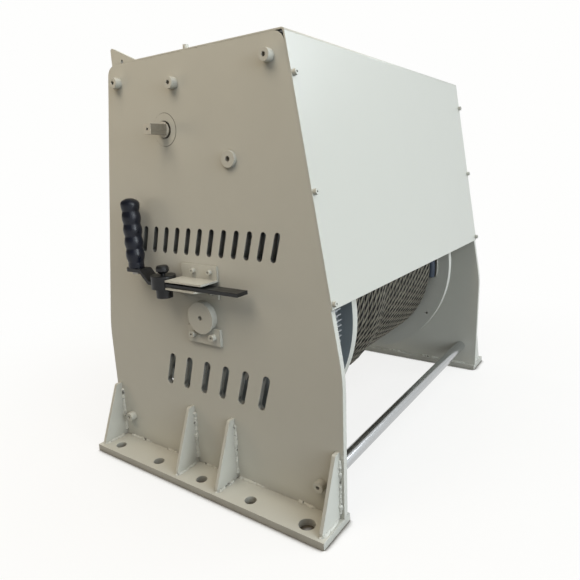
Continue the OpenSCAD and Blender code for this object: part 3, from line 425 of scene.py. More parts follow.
# Drawn and polished rod: one narrow bright line along it.
polished_steel = make_metal("polished_rod_steel", "#D6D8DA", 0.17, (1.5, 120, 1.5), stained=0.05)
# Cut gear steel under oil: dull and grey, with dark stains.
oiled_gear_steel = make_metal("oiled_gear_steel", "#AEB3B6", 0.45, (2.0, 30, 2.0), stained=0.4)
# Bronze, cast and bored: warm, with brown stains.
cast_bronze = make_metal("cast_bronze", "#A9824A", 0.35, (2.0, 30, 2.0), stained=0.3)
print("metals:", turned_steel.name, polished_steel.name, oiled_gear_steel.name, cast_bronze.name)

# %% [markdown]
# ## Coats, plastic and tape
#
# The crank is steel with a baked black coat, its grip is moulded plastic that shines softly, the
# brake's linings are pressed fibre and the rope's end is bound with dark cloth tape. What tells
# them apart is how fine and deep their grain is, and how rough it leaves the surface.

# %% Coats, plastic and tape
MOTTLE_MM = 14


def make_coat(name, colour, roughness, grain_mm=1.4, strength=0.25, ior=1.5):
    """A coat with a fine grain, dull or glossy."""
    material, tree, shader, place = start_material(name)
    shader.inputs["IOR"].default_value = ior
    grain = add_node(tree, "ShaderNodeTexNoise",
                     {"Vector": place, "Scale": per_metre(grain_mm), "Detail": 3.0})
    clouds = add_node(tree, "ShaderNodeTexNoise",
                      {"Vector": place, "Scale": per_metre(MOTTLE_MM), "Detail": 4.0}).outputs["Fac"]
    edge = add_node(tree, "ShaderNodeBevel", {"Radius": EDGE_ROUNDING}, samples=SAMPLES_AT_EDGES)
    bump = add_node(tree, "ShaderNodeBump", {"Height": grain.outputs["Fac"], "Normal": edge.outputs[0],
                    "Strength": strength, "Distance": 0.3 * MM})
    tree.links.new(bump.outputs[0], shader.inputs["Normal"])
    tree.links.new(vary_tone(tree, clouds, colour, 0.8, 1.25), shader.inputs["Base Color"])
    vary_gloss(tree, clouds, roughness - 0.06, roughness + 0.08)
    return material


# Baked coat on steel: black with a fine grain and a broad shine.
black_coat = make_coat("black_steel_coat", "#1D1E20", 0.34, grain_mm=2.2)
# Moulded polypropylene: nearly smooth, bluish black, with a soft shine.
grip_plastic = make_coat("moulded_grip_plastic", "#141824", 0.30, grain_mm=1.6, strength=0.08, ior=1.46)
# Pressed fibre: brown, coarse and matt.
brake_lining = make_coat("pressed_brake_lining", "#4A3A2C", 0.85, grain_mm=1.0, strength=0.6)
# Cloth tape: dark blue, uneven, with a dull shine.
marking_tape = make_coat("dark_blue_tape", "#38424F", 0.42, grain_mm=6.0, strength=0.9, ior=1.46)
print("coats:", black_coat.name, grip_plastic.name, brake_lining.name, marking_tape.name)

# %% [markdown]
# ## Painting the CAD nodes
#
# The record of the model names a slot for every node, such as its paint or its bright steel. One
# table turns each slot into a finish, so no node is forgotten and like pieces stay alike.

# %% Give every CAD node its finish
SLOT_FINISH = {
    "grey_paint": grey_enamel, "bright_steel": turned_steel, "polished_rod": polished_steel,
    "gear_steel": oiled_gear_steel, "bronze": cast_bronze, "rope_steel": oiled_gear_steel,
    "end_tape": marking_tape, "lining": brake_lining, "black_coat": black_coat,
    "grip_plastic": grip_plastic}

for part in frame["record"]["subparts"]:
    mesh = frame["nodes"][part["node"]].data
    mesh.materials.clear()
    mesh.materials.append(SLOT_FINISH[part["material_slot"]])

# %% [markdown]
# ## Painted shade and overspray
#
# Three pieces need more than the plain enamel. The walls of the front plate's laser-cut slots get
# painted shade, dark where little light reaches them. The flange's face beside the gears gets painted
# shade too.
# The shaft's end was left bare but caught some spray. Each is the same coat with one more layer, and
# the direction of the surface tells where the layer goes, so it stays put in every view.

# %% Painted shade over enamel
def facing_along_y(tree):
    """How far a surface faces along Y: -1 towards the front, 1 towards the far side."""
    normal = add_node(tree, "ShaderNodeTexCoord").outputs["Normal"]
    return add_node(tree, "ShaderNodeSeparateXYZ", {0: normal}).outputs["Y"]


def lay_over(tree, share, colour):
    """Lays a second colour over a finished coat, as far as share says."""
    shader = tree.nodes["Principled BSDF"]
    coat = shader.inputs["Base Color"].links[0].from_socket
    mixed = add_node(tree, "ShaderNodeMix", {0: share, 6: coat, 7: linear(colour)}, data_type="RGBA")
    tree.links.new(mixed.outputs[2], shader.inputs["Base Color"])


def make_shaded_flange_enamel():
    """The near flange's paint: where it faces the gears it gets painted shade, darker and bluish."""
    material = make_enamel("flange_enamel_with_painted_shade")
    tree = material.node_tree
    painted_shade = add_node(tree, "ShaderNodeMapRange", {"Value": facing_along_y(tree), "From Min": -0.4,
                    "From Max": -0.9, "To Max": 0.85}).outputs["Result"]
    # Painted shade: the face towards the gears, which lies in the gear bay's shade, is made darker and
    # bluish.
    lay_over(tree, painted_shade, "#8A96A0")
    return material


flange_shade_enamel = make_shaded_flange_enamel()
print("greased enamel:", len(flange_shade_enamel.node_tree.nodes), "nodes")

# %% Overspray and painted shade on the slot walls
SLOT_REACH = 16 * MM


def make_oversprayed_steel():
    """The input shaft: bare steel on its sides, and enamel where the spray caught its end."""
    material = make_metal("oversprayed_shaft_steel", *BRIGHT_STEEL)
    tree = material.node_tree
    spray = add_node(tree, "ShaderNodeMapRange", {"Value": facing_along_y(tree), "From Min": -0.6,
                     "From Max": -0.9, "To Max": 0.9}).outputs["Result"]
    lay_over(tree, spray, "#D8D7CE")
    bare = add_node(tree, "ShaderNodeMath", {0: 1.0, 1: spray}, operation="SUBTRACT").outputs[0]
    tree.links.new(bare, tree.nodes["Principled BSDF"].inputs["Metallic"])
    return material


def make_slot_shaded_enamel():
    """The front plate's paint, with painted shade on the walls of its narrow slots."""
    material = make_enamel("plate_enamel_with_slot_shade")
    tree = material.node_tree
    across = add_node(tree, "ShaderNodeMath", {0: facing_along_y(tree)}, operation="ABSOLUTE").outputs[0]
    on_wall = add_node(tree, "ShaderNodeMapRange",
                       {"Value": across, "From Min": 0.5, "From Max": 0.2}).outputs[0]
    sky = add_node(tree, "ShaderNodeAmbientOcclusion", {"Distance": SLOT_REACH}, samples=6).outputs["AO"]
    shut = add_node(tree, "ShaderNodeMapRange", {"Value": sky, "From Min": 0.92, "From Max": 0.62,
                    "To Max": 0.92}).outputs["Result"]
    # Painted shade: walls that face across the plate and are shut in are darkened nearly to black.
    scale = add_node(tree, "ShaderNodeMath", {0: on_wall, 1: shut}, operation="MULTIPLY").outputs[0]
    lay_over(tree, scale, "#26282B")
    return material


for node, finish in (("near_side_plate", make_slot_shaded_enamel()), ("near_drum_flange", flange_shade_enamel),
                     ("input_shaft", make_oversprayed_steel())):
    frame["nodes"][node].data.materials[0] = finish
    print(node, "wears", finish.name)

# %% [markdown]
# ## The wire rope
#
# A wire rope is six strands laid round a core, and each strand is a bundle of wires. What the eye sees
# is the lay: slanting, bulging strands with dark gaps between them. The strands are real geometry
# here, as one tube whose section has six lobes and turns as it goes along. The rope is followed as it
# was wound: from the gear side to the far flange, a little higher near the gears, with its taped end
# lifted off the layer.

# %% The rope's sizes and its route
ROPE_D = 16.8 * MM
WOUND_R = 196 * MM
TURNS = 26
STRANDS = 6
LAY = 96 * MM
END_ANGLE = math.radians(-7.5)
FLANGE_CLEAR = 0.4 * MM
RISE = 11 * MM
RISE_SHARES = (0.29, 0.46)
END_LIFT = 7 * MM
END_LIFT_TURNS = 0.12
UNEVEN = 0.35 * MM

layer_low, layer_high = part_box("rope_winding")
drum_z = (layer_low[2] + layer_high[2]) / 2
drum_near, drum_far = layer_low[1], layer_high[1]
middle_r = WOUND_R - ROPE_D / 2
turn_pitch = (drum_far - drum_near - ROPE_D - 2 * FLANGE_CLEAR) / TURNS
turn_length = 2 * math.pi * middle_r
print("rope turns:", TURNS, "pitch:", round(turn_pitch / MM, 2), "mm")
print("rope length:", round(TURNS * turn_length, 1), "m")


def eased(t):
    """A share from 0 to 1 that starts and stops softly."""
    t = min(1.0, max(0.0, t))
    return t * t * (3 - 2 * t)


def rise_at(y):
    """How much higher the layer lies near the gears than at the far flange."""
    share = (y - drum_near) / (drum_far - drum_near)
    return RISE * eased((RISE_SHARES[1] - share) / (RISE_SHARES[1] - RISE_SHARES[0]))


def rope_frame(turn):
    """Middle of the rope after so many turns, and its outward direction."""
    angle = END_ANGLE + 2 * math.pi * (TURNS - turn)
    y = drum_near + FLANGE_CLEAR + ROPE_D / 2 + turn_pitch * turn
    lift = END_LIFT * eased(1 - (TURNS - turn) / END_LIFT_TURNS)
    outward = Vector((math.cos(angle), 0, math.sin(angle)))
    uneven = UNEVEN * noise.noise(Vector((2 * outward.x, 2 * outward.z, 0.9 * turn)))
    reach = middle_r + rise_at(y) + lift + uneven
    return Vector((0, y, drum_z)) + reach * outward, outward


# %% A tube from rings of points
def tube_mesh(name, rings, lengths, capped=True):
    """Mesh of a closed tube. UV x is the length in metres and UV y the share of the way round."""
    count = len(rings[0])
    vertices = [point for ring in rings for point in ring]
    faces = [(a * count + k, (a + 1) * count + k,
              (a + 1) * count + (k + 1) % count, a * count + (k + 1) % count)
             for a in range(len(rings) - 1) for k in range(count)]
    uvs = [(lengths[a + da], (k + dk) / count) for a in range(len(rings) - 1) for k in range(count)
           for da, dk in ((0, 0), (1, 0), (1, 1), (0, 1))]
    if capped:
        last = (len(rings) - 1) * count
        faces += [tuple(range(count)), tuple(last + k for k in reversed(range(count)))]
        uvs += [(lengths[0], k / count) for k in range(count)]
        uvs += [(lengths[-1], k / count) for k in reversed(range(count))]
    mesh = bpy.data.meshes.new(name)
    mesh.from_pydata(vertices, [], faces)
    layer = mesh.uv_layers.new(name="along_and_round")
    layer.data.foreach_set("uv", [value for uv in uvs for value in uv])
    mesh.polygons.foreach_set("use_smooth", [True] * len(mesh.polygons))
    mesh.update()
    return mesh


def add_piece(mesh, body, *materials):
    """Puts a mesh in the scene as a piece that rides on a body."""
    piece = bpy.data.objects.new(mesh.name, mesh)
    bpy.context.collection.objects.link(piece)
    for material in materials:
        mesh.materials.append(material)
    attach(piece, body)
    return piece


print("tubes carry the UV layer along_and_round")

# %% [markdown]
# ## Oiled rope steel
#
# The wires of a rope are bright drawn steel under a film of grease. The crowns of the strands are
# rubbed clean and catch the light, and the gaps between them are painted black, as grease and painted
# shade. The wires themselves are less than a millimetre thick, so they are a sine wave in the bump,
# which follows the lay.

# %% Rope finish
WIRES_ROUND = 44
BARE_WIDTH, BLACK_WIDTH = 0.03, 0.28
RUBBED_CLOUD_MM = 22


def make_rope_steel(name, lay):
    """Oiled steel strands: gaps darkened as grease and painted shade, and fine wires along the crowns."""
    material, tree, shader, place = start_material(name)
    shader.inputs["Metallic"].default_value = 0.75
    uv = add_node(tree, "ShaderNodeUVMap", uv_map="along_and_round").outputs[0]
    parts = add_node(tree, "ShaderNodeSeparateXYZ", {0: uv})
    along, round_share = parts.outputs["X"], parts.outputs["Y"]
    # Across a strand: 0 on its crown and 0.5 in the gap. The section itself turns with the lay,
    # so the share of the way round already follows the strands.
    strand = add_node(tree, "ShaderNodeMath", {0: round_share, 1: STRANDS, 2: 0.5},
                      operation="MULTIPLY_ADD").outputs[0]
    crown = add_node(tree, "ShaderNodeMath", {0: strand, 1: 0.5}, operation="PINGPONG").outputs[0]
    # Wires run along the rope, so seen from the turning section they slant the other way.
    lay_share = add_node(tree, "ShaderNodeMath", {0: along, 1: 1 / lay}, operation="MULTIPLY").outputs[0]
    still = add_node(tree, "ShaderNodeMath", {0: round_share, 1: lay_share},
                     operation="SUBTRACT").outputs[0]
    turned = add_node(tree, "ShaderNodeMath", {0: still, 1: 2 * math.pi * WIRES_ROUND},
                      operation="MULTIPLY").outputs[0]
    wire = add_node(tree, "ShaderNodeMath", {0: turned}, operation="SINE").outputs[0]
    bump = add_node(tree, "ShaderNodeBump", {"Height": wire, "Strength": 0.5, "Distance": 0.25 * MM})
    tree.links.new(bump.outputs[0], shader.inputs["Normal"])
    clouds = add_node(tree, "ShaderNodeTexNoise", {"Vector": place, "Scale": per_metre(RUBBED_CLOUD_MM),
                      "Detail": 4.0, "Roughness": 0.6}).outputs["Fac"]
    tone = add_node(tree, "ShaderNodeMapRange",
                    {"Value": clouds, "From Min": 0.35, "From Max": 0.7}).outputs[0]
    metal = add_node(tree, "ShaderNodeMix", {0: tone, 6: linear("#747064"), 7: linear("#A09C8C")},
                     data_type="RGBA").outputs[2]
    # Grease and painted shade: the gaps between the strands are darkened nearly to black.
    grease_and_shade = add_node(tree, "ShaderNodeMapRange", {"Value": crown, "From Min": BARE_WIDTH,
                      "From Max": BLACK_WIDTH, "To Max": 0.98}).outputs["Result"]
    mixed = add_node(tree, "ShaderNodeMix", {0: grease_and_shade, 6: metal, 7: linear("#16171C")},
                     data_type="RGBA")
    tree.links.new(mixed.outputs[2], shader.inputs["Base Color"])
    vary_gloss(tree, clouds, 0.36, 0.55)
    return material


rope_steel = make_rope_steel("oiled_rope_steel", LAY)
print("wires round the rope:", WIRES_ROUND, "in", STRANDS, "strands")

# %% [markdown]
# ## The outer layer
#
# The section of the rope is six touching circles, of which only the outer arcs are drawn. It is
# carried along the whole winding and turned once in every lay, so the strands lie as real ridges
# that catch the light and cast shadows. The tube stops where the tape begins.

# %% Strands of the outer layer
STRAND_DEGREES = (-30, -24, -12, 0, 12, 24)
STEPS_PER_TURN = 120
TAPE_LENGTH = 44 * MM


def strand_section():
    """Radius and angle of the points of a section of touching strands."""
    strand_r = ROPE_D / 6
    reach = ROPE_D / 2 - strand_r
    points = []
    for strand in range(STRANDS):
        for degrees in STRAND_DEGREES:
            a = math.radians(degrees)
            under = max(0.0, strand_r ** 2 - (reach * math.sin(a)) ** 2)
            points.append((reach * math.cos(a) + math.sqrt(under), a + strand * 2 * math.pi / STRANDS))
    return points


def make_rope_strands():
    """The wound rope from the near flange to the start of the tape."""
    section = strand_section()
    across = Vector((0, 1, 0))
    bare_turns = TURNS - TAPE_LENGTH / turn_length
    steps = round(bare_turns * STEPS_PER_TURN)
    rings, lengths = [], []
    for i in range(steps + 1):
        turn = bare_turns * i / steps
        middle, outward = rope_frame(turn)
        length = turn * turn_length
        twist = -2 * math.pi * length / LAY
        rings.append([middle + r * (math.cos(a + twist) * outward + math.sin(a + twist) * across)
                      for r, a in section])
        lengths.append(length)
    return tube_mesh("rope_strands", rings, lengths)


rope_strands = add_piece(make_rope_strands(), "drum", rope_steel)
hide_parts("rope_winding")
print("rope strands:", len(rope_strands.data.vertices), "vertices")

# %% [markdown]
# ## The layers underneath
#
# Between two turns of the outer layer the eye falls on the layer below, which lies in the grooves
# half a turn to the side. Only its ridges can be seen, so it is one closed ring with a ridged
# outline, turned round the drum's axis down to the barrel.

# %% Layers under the outer one
UNDER_DROP = 14.4 * MM
UNDER_STEPS = 96
RIDGE_SHARES = (-0.42, -0.25, 0, 0.25, 0.42)
UNDER_END_GAP = 0.2 * MM
BARREL_GAP = 0.1 * MM
WELD_WITHIN = 0.001 * MM


def under_profile():
    """Radius and place along the drum of the ridged outline, closed at the barrel."""
    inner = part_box("drum_barrel")[1][0] + BARREL_GAP
    profile = []
    for turn in range(TURNS + 1):
        for share in RIDGE_SHARES:
            y = drum_near + FLANGE_CLEAR + ROPE_D / 2 + turn_pitch * (turn - 0.5 + share)
            if drum_near + UNDER_END_GAP < y < drum_far - UNDER_END_GAP:
                crest = math.sqrt(max(0.0, (ROPE_D / 2) ** 2 - (turn_pitch * share) ** 2))
                profile.append((middle_r - UNDER_DROP + crest + rise_at(y), y))
    return profile + [(inner, profile[-1][1]), (inner, profile[0][1])]


def make_under_layers():
    """The outline turned round the drum's axis, as one closed ring."""
    profile = under_profile()
    rings = []
    for i in range(UNDER_STEPS):
        a = 2 * math.pi * i / UNDER_STEPS
        rings.append([(r * math.cos(a), y, drum_z + r * math.sin(a)) for r, y in profile])
    rings.append(rings[0])
    lengths = [turn_length * i / UNDER_STEPS for i in range(UNDER_STEPS + 1)]
    mesh = tube_mesh("rope_under_layers", rings, lengths, capped=False)
    cleaned = bmesh.new()
    cleaned.from_mesh(mesh)
    bmesh.ops.remove_doubles(cleaned, verts=cleaned.verts, dist=WELD_WITHIN)
    bmesh.ops.recalc_face_normals(cleaned, faces=cleaned.faces)
    cleaned.to_mesh(mesh)
    cleaned.free()
    return mesh


under_layers = add_piece(make_under_layers(), "drum", oiled_gear_steel)
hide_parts("rope_core")
print("layers underneath:", len(under_layers.data.vertices), "vertices")

# %% [markdown]
# ## The taped end
#
# The rope's free end is bound with tape, so that its strands don't open. The tape goes round and
# round, each turn over half of the one before, and the end of the rope is drawn in under it.

# %% Taped rope end
TAPE_W = 19 * MM
TAPE_STEPS = 44
TAPE_SIDES = 40
TAPE_OVER_ROPE = 0.12 * MM
TAPE_T = 0.22 * MM
ROUNDED_END = 2.5 * MM
END_SHARE = 0.55


def make_taped_end():
    """The last stretch of the rope as a smooth tube with the spiral step of the tape."""
    rings, lengths = [], []
    for i in range(TAPE_STEPS + 1):
        back = TAPE_LENGTH * (1 - i / TAPE_STEPS)
        middle, outward = rope_frame(TURNS - back / turn_length)
        close = math.sqrt(max(0.0, 1 - max(0.0, 1 - back / ROUNDED_END) ** 2))
        ring = []
        for k in range(TAPE_SIDES):
            a = 2 * math.pi * k / TAPE_SIDES
            edge = (back / (TAPE_W / 2) + k / TAPE_SIDES) % 1
            r = (ROPE_D / 2 + TAPE_OVER_ROPE + TAPE_T * edge) * (END_SHARE + (1 - END_SHARE) * close)
            ring.append(middle + r * (math.cos(a) * outward + Vector((0, math.sin(a), 0))))
        rings.append(ring)
        lengths.append(TAPE_LENGTH - back)
    return tube_mesh("taped_rope_end", rings, lengths)


taped_end = add_piece(make_taped_end(), "drum", marking_tape)
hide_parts("rope_end_tape")
print("tape:", round(TAPE_LENGTH / MM), "mm long,", round(2 * TAPE_LENGTH / TAPE_W, 1), "turns of it")

# %% [markdown]
# ## The cover's fold
#
# The cover is one sheet of steel, bent on a press brake. A bend has a radius, never a knife edge, and
# that radius draws the bright line under the roof of the winch. A Bevel node only shades an edge, and
# a sheet is thinner than the bend, so the section is drawn here with true arcs and pulled along the
# winch. Its corners are read from the CAD cover, which it replaces.

# %% A bend
INNER_BEND = 2.5 * MM
BEND_STEPS = 8


def bend(before, corner, after, radius):
    """Points of the arc that rounds a corner of a section."""
    back, ahead = (before - corner).normalized(), (after - corner).normalized()
    half = back.angle(ahead) / 2
    middle = corner + (back + ahead).normalized() * (radius / math.sin(half))
    start = (corner + back * (radius / math.tan(half)) - middle).normalized()
    end = (corner + ahead * (radius / math.tan(half)) - middle).normalized()
    return [middle + radius * start.slerp(end, i / BEND_STEPS) for i in range(BEND_STEPS + 1)]


print("a bend:", round(INNER_BEND / MM, 1), "mm inside, in", BEND_STEPS, "steps")

# %% Folded cover
SAME_PLACE = 0.01 * MM


def folded_sheet():
    """The cover's section with a bend radius, pulled from its near end to its far end."""
    (_, near, _), (_, far, _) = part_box("cover")
    ends = {(round(v.co.x, 5), round(v.co.z, 5)) for v in frame["nodes"]["cover"].data.vertices
            if abs(v.co.y - near) < SAME_PLACE}
    corners = [Vector((x, 0, z)) for x, z in sorted(ends)]
    left = sorted(corners[:2], key=lambda c: c.z)
    fold = sorted(corners[2:4], key=lambda c: c.z)
    foot = sorted(corners[4:], key=lambda c: c.x)
    sheet_t = left[1].z - left[0].z
    print("cover section corners:", len(corners), "sheet:", round(sheet_t / MM, 2), "mm")
    outside = bend(left[1], fold[1], foot[1], INNER_BEND + sheet_t)
    inside = bend(left[0], fold[0], foot[0], INNER_BEND)
    section = [left[1], *outside, foot[1], foot[0], *reversed(inside), left[0]]
    round_faces = [*range(1, 1 + BEND_STEPS), *range(BEND_STEPS + 4, 2 * BEND_STEPS + 4)]
    count = len(section)
    vertices = [Vector((point.x, y, point.z)) for y in (near, far) for point in section]
    faces = [(k, (k + 1) % count, count + (k + 1) % count, count + k) for k in range(count)]
    faces += [tuple(reversed(range(count))), tuple(range(count, 2 * count))]
    mesh = bpy.data.meshes.new("folded_cover_sheet")
    mesh.from_pydata(vertices, [], faces)
    for k in round_faces:
        mesh.polygons[k].use_smooth = True
    made = bmesh.new()
    made.from_mesh(mesh)
    bmesh.ops.recalc_face_normals(made, faces=made.faces)
    made.to_mesh(mesh)
    made.free()
    return mesh


# The cover is painted flat on a bench, so its coat is smoother and more even than the frame's.
cover_enamel = make_enamel("cover_sheet_enamel", roughness=0.28, patchy=0.25)
cover = add_piece(folded_sheet(), "frame", cover_enamel)
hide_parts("cover")
print("cover:", len(cover.data.polygons), "faces")

# %% [markdown]
# ## Two fine lines
#
# The bearing cap sits in a round hole of the front plate, and round it lies a dark crescent of
# painted shadow, where the gap is in shade. Beside the taped end the far flange has a narrow rolled lip
# that catches the light.
# Both are thin arcs with a section that swells and fades, so one function makes them.

# %% Crescents
FADE_POWER = 0.6
LEAST_WIDTH_SHARE = 0.04
SEAM_SHADE_W, SEAM_SHADE_T, SEAM_SHADE_DEGREES = 1.1 * MM, 0.3 * MM, 110
LIP_R, LIP_W, LIP_T, LIP_DEGREES = 205.5 * MM, 2.0 * MM, 8.0 * MM, (-7, 6)


def crescent(name, centre, radius, degrees, widest, thickness, steps=72, sides=8):
    """A thin arc in the XZ plane, widest in its middle and closed at both ends."""
    rings, lengths = [], []
    for i in range(steps + 1):
        share = i / steps
        a = math.radians(degrees[0] + share * (degrees[1] - degrees[0]))
        outward = Vector((math.cos(a), 0, math.sin(a)))
        width = max(LEAST_WIDTH_SHARE, math.sin(math.pi * share) ** FADE_POWER) * widest / 2
        ring = []
        for k in range(sides):
            turn = 2 * math.pi * k / sides
            ring.append(Vector(centre) + (radius + width * math.cos(turn)) * outward
                        + Vector((0, thickness / 2 * math.sin(turn), 0)))
        rings.append(ring)
        lengths.append(radius * a)
    return tube_mesh(name, rings, lengths)


cap_low, cap_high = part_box("bearing_caps")
plate_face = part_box("near_side_plate")[0][1]
cap_centre = ((cap_low[0] + cap_high[0]) / 2, plate_face, (cap_low[2] + cap_high[2]) / 2)
cap_r = (cap_high[0] - cap_low[0]) / 2
# Painted shadow: a dark crescent on the plate round one side of the bearing cap.
seam_shade_coat = make_coat("painted_seam_shade", "#5A564A", 0.7, grain_mm=1.0)
seam_shade = add_piece(crescent("bearing_cap_shade_line", cap_centre, cap_r,
                           (-SEAM_SHADE_DEGREES, SEAM_SHADE_DEGREES), SEAM_SHADE_W, SEAM_SHADE_T), "frame", seam_shade_coat)
lip = add_piece(crescent("far_flange_lip", (0, drum_far + FLANGE_CLEAR, drum_z), LIP_R,
                         LIP_DEGREES, LIP_W, LIP_T, steps=24), "drum", grey_enamel)
print("radii of the arcs:", round(cap_r / MM, 1), "and", round(LIP_R / MM, 1), "mm")

# %% [markdown]
# ## Gussets
#
# The gussets are cut from thinner plate than the sides, and their free edges are ground, so from the
# front they look like blades. The CAD model holds them at a stouter thickness with the same outline.
# Each is taken from the CAD model and drawn in towards its own middle, which keeps its outline, its
# place and its seat on the foot.

# %% Gusset plates
GUSSET_T = 6 * MM


def separate_solids(made):
    """Groups of joined vertices, one group for each separate solid of a mesh."""
    seen = set()
    for first in made.verts:
        if first in seen:
            continue
        group, queue = [], [first]
        seen.add(first)
        while queue:
            vertex = queue.pop()
            group.append(vertex)
            for edge in vertex.link_edges:
                other = edge.other_vert(vertex)
                if other not in seen:
                    seen.add(other)
                    queue.append(other)
        yield group


def gusset_plates(node, name):
    """The gussets of one side at their real thickness, and the box of each."""
    made = bmesh.new()
    made.from_mesh(frame["nodes"][node].data)
    bmesh.ops.remove_doubles(made, verts=made.verts, dist=SAME_PLACE)
    boxes = []
    for group in separate_solids(made):
        left, right = min(v.co.x for v in group), max(v.co.x for v in group)
        middle = (left + right) / 2
        for vertex in group:
            vertex.co.x = middle + (vertex.co.x - middle) * GUSSET_T / (right - left)
        low = [min(v.co[k] for v in group) for k in range(3)]
        high = [max(v.co[k] for v in group) for k in range(3)]
        boxes.append((low, high))
    mesh = bpy.data.meshes.new(name)
    made.to_mesh(mesh)
    made.free()
    piece = add_piece(mesh, "frame", grey_enamel)
    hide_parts(node)
    print(name, len(boxes), "plates of", round(GUSSET_T / MM, 1), "mm")
    return boxes


near_gusset_boxes = gusset_plates("near_gussets", "near_gusset_plates")
far_gusset_boxes = gusset_plates("far_gussets", "far_gusset_plates")

# %% [markdown]
# ## Weld beads
#
# The gussets, the feet and the plates are joined by hand-laid fillet welds. A bead is a string of
# overlapping ripples, never quite straight or even, and it is painted over with the rest. Each bead
# is a lumpy rod that lies in the corner between two surfaces, so half of it is sunk in the steel.

# %% One bead
BEAD_R = 4.6 * MM
RIPPLE = 4.6 * MM
BEAD_STEP = 1.1 * MM
BEAD_SIDES = 10
THINNEST = 0.8 * MM
FULL_AFTER = 5 * MM
WANDER_EVERY, LUMP_EVERY = 17 * MM, 6 * MM
SIDEWAYS = 2.2 * MM
SUNK_SHARE = 0.25
LEAN_SHARE = 0.35
START_SHARE = 0.35
MEAN_SHARE, RIPPLE_SHARE, WANDER_SHARE, LUMP_SHARE = 0.92, 0.22, 0.50, 0.55


def bead_rings(start, end, away, seed, size=1.0):
    """Rings of a bead from start to end; away points out of the corner that it lies in."""
    start, end, away = Vector(start), Vector(end), Vector(away).normalized()
    length = (end - start).length
    along = (end - start).normalized()
    across = along.cross(away)
    count = max(4, round(length / BEAD_STEP))
    rings = []
    for i in range(count + 1):
        reach = i / count * length
        ends = min(1.0, START_SHARE + min(reach, length - reach) / FULL_AFTER)
        wander = noise.noise(Vector((reach / WANDER_EVERY, 3.7 * seed, 0.5)))
        lump = noise.noise(Vector((reach / LUMP_EVERY, 3.7 * seed + 9.1, 0.5)))
        ripple = (reach / RIPPLE + 0.6 * wander) % 1
        uneven = (MEAN_SHARE + RIPPLE_SHARE * (1 - ripple) ** 2 + WANDER_SHARE * wander
                  + LUMP_SHARE * lump)
        r = max(THINNEST, BEAD_R * size * ends * uneven)
        middle = start + reach * along + across * (SIDEWAYS * lump) - away * (SUNK_SHARE * r)
        ring = []
        for k in range(BEAD_SIDES):
            a = 2 * math.pi * k / BEAD_SIDES
            # Each ripple leans back along the bead, as molten metal does behind the arc.
            lean = along * (-LEAN_SHARE * r * max(0.0, math.cos(a)))
            ring.append(middle + r * (math.cos(a) * away + math.sin(a) * across) + lean)
        rings.append(ring)
    return rings


print("bead ripples:", round(RIPPLE / MM, 1), "mm apart, drawn every", round(BEAD_STEP / MM, 1), "mm")

# %% Many beads in one mesh
def beads_mesh(name, beads):
    """One mesh of many beads, each given as start, end, direction out of the corner and size."""
    made = bmesh.new()
    for seed, (start, end, away, size) in enumerate(beads):
        rings = [[made.verts.new(point) for point in ring]
                 for ring in bead_rings(start, end, away, seed, size)]
        for before, after in zip(rings, rings[1:]):
            for k in range(BEAD_SIDES):
                beside = (k + 1) % BEAD_SIDES
                made.faces.new((before[k], after[k], after[beside], before[beside]))
        made.faces.new(rings[0])
        made.faces.new(list(reversed(rings[-1])))
    bmesh.ops.recalc_face_normals(made, faces=made.faces)
    mesh = bpy.data.meshes.new(name)
    made.to_mesh(mesh)
    made.free()
    mesh.polygons.foreach_set("use_smooth", [True] * len(mesh.polygons))
    return mesh


print("100 mm of bead:", len(bead_rings((0, 0, 0), (0.1, 0, 0), (0, 0, 1), 0)), "rings of", BEAD_SIDES)

# %% [markdown]
# ## Where the beads run
#
# A gusset is welded down both sides, along its foot and round its toe. The plates are only tacked
# to the feet, in short runs with gaps, as the winch shows. The runs start and stop at places in
# millimetres, and the rest of each bead follows from the boxes of the pieces that it joins.

# %% The runs of the beads
NEAR_FOOT_WELDS_MM = ((-236, -176), (-130, -101), (-30, 3), (54, 117), (180, 214))
FAR_FOOT_WELDS_MM = ((-210, -160), (-95, -30), (20, 70), (120, 165), (195, 240))
SHORT_OF_TIP, SHORT_OF_FOOT = 12 * MM, 4 * MM
SHORT_OF_TOE, SHORT_OF_PLATE = 3 * MM, 5 * MM
UPRIGHT_SIZE, FOOT_SIZE, TOE_SIZE, RUN_SIZE = 1.0, 0.9, 0.85, 0.95
UP = Vector((0, 0, 1))
foot_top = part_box("near_foot")[1][2]


def gusset_beads(gusset_boxes, face, side):
    """Beads round the gussets of one side; side is -1 for the near one and 1 for the far one."""
    out = Vector((0, side, 0))
    beads = []
    for low, high in gusset_boxes:
        toe = low[1] if side < 0 else high[1]
        for x, sideways in ((low[0], Vector((-1, 0, 0))), (high[0], Vector((1, 0, 0)))):
            beads.append(((x, face, high[2] - SHORT_OF_TIP), (x, face, foot_top + SHORT_OF_FOOT),
                          out + sideways, UPRIGHT_SIZE))
            beads.append(((x, toe - side * SHORT_OF_TOE, foot_top),
                          (x, face + side * SHORT_OF_PLATE, foot_top), sideways + UP, FOOT_SIZE))
        beads.append(((low[0], toe, foot_top), (high[0], toe, foot_top), out + UP, TOE_SIZE))
    return beads


def foot_beads(spans_mm, face, side):
    """Short runs between a plate and its foot."""
    return [((a * MM, face, foot_top), (b * MM, face, foot_top), Vector((0, side, 1)), RUN_SIZE)
            for a, b in spans_mm]


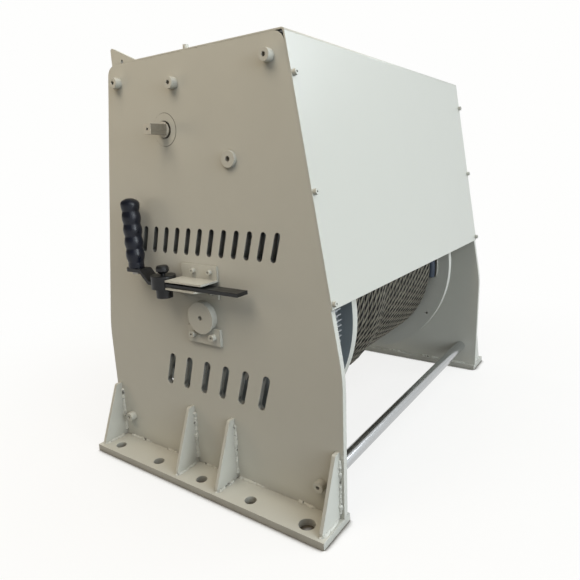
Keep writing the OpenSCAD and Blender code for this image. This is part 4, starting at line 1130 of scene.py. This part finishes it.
plate_near, plate_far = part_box("near_side_plate"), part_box("far_side_plate")
near_beads = (gusset_beads(near_gusset_boxes, plate_near[0][1], -1)
              + foot_beads(NEAR_FOOT_WELDS_MM, plate_near[0][1], -1)
              + foot_beads(FAR_FOOT_WELDS_MM, plate_near[1][1], 1))
far_beads = (gusset_beads(far_gusset_boxes, plate_far[1][1], 1)
             + foot_beads(FAR_FOOT_WELDS_MM, plate_far[0][1], -1)
             + foot_beads(NEAR_FOOT_WELDS_MM, plate_far[1][1], 1))
print("beads:", len(near_beads), "near and", len(far_beads), "far")

# %% [markdown]
# ## Painted welds
#
# A weld is rougher than plate, and paint doesn't fill its pores and undercuts, so they stay dark.
# The coat is the frame's enamel with deeper peel, sharper edges, and pores laid over it.

# %% Enamel over the beads
PORE_GROUP_MM = 9       # a pore is about 1 mm wide; drawn coarser, in groups, so that it shows


def make_weld_enamel():
    """The same enamel over a bead, with the pores and undercuts that it doesn't fill."""
    material = make_enamel("enamel_over_welds", peel=0.4, rounding=0.3 * MM)
    tree = material.node_tree
    place = tree.nodes["Texture Coordinate"].outputs["Object"]
    pores = add_node(tree, "ShaderNodeTexNoise",
                     {"Vector": place, "Scale": per_metre(PORE_GROUP_MM), "Detail": 2.5}).outputs["Fac"]
    open_pores = add_node(tree, "ShaderNodeMapRange", {"Value": pores, "From Min": 0.60,
                          "From Max": 0.68, "To Max": 0.85}).outputs["Result"]
    lay_over(tree, open_pores, "#3A372F")
    return material


weld_enamel = make_weld_enamel()
for name, beads in (("near_weld_beads", near_beads), ("far_weld_beads", far_beads)):
    piece = add_piece(beads_mesh(name, beads), "frame", weld_enamel)
    print(name, len(piece.data.vertices), "vertices")

# %% [markdown]
# ## The end of the lesson
#
# Two boxes are put side by side: the CAD model's, and that of what is shown. They should
# be the same size, because Blender adds finish and detail to the winch, and never length or width.

# %% Sizes of the shown object
boxes = {"cad": cad_box, "visual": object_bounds()}
{name: [list(corner) for corner in box] for name, box in boxes.items()}
print("shown size:", [round((high - low) / MM) for low, high in zip(*boxes["visual"])], "mm")
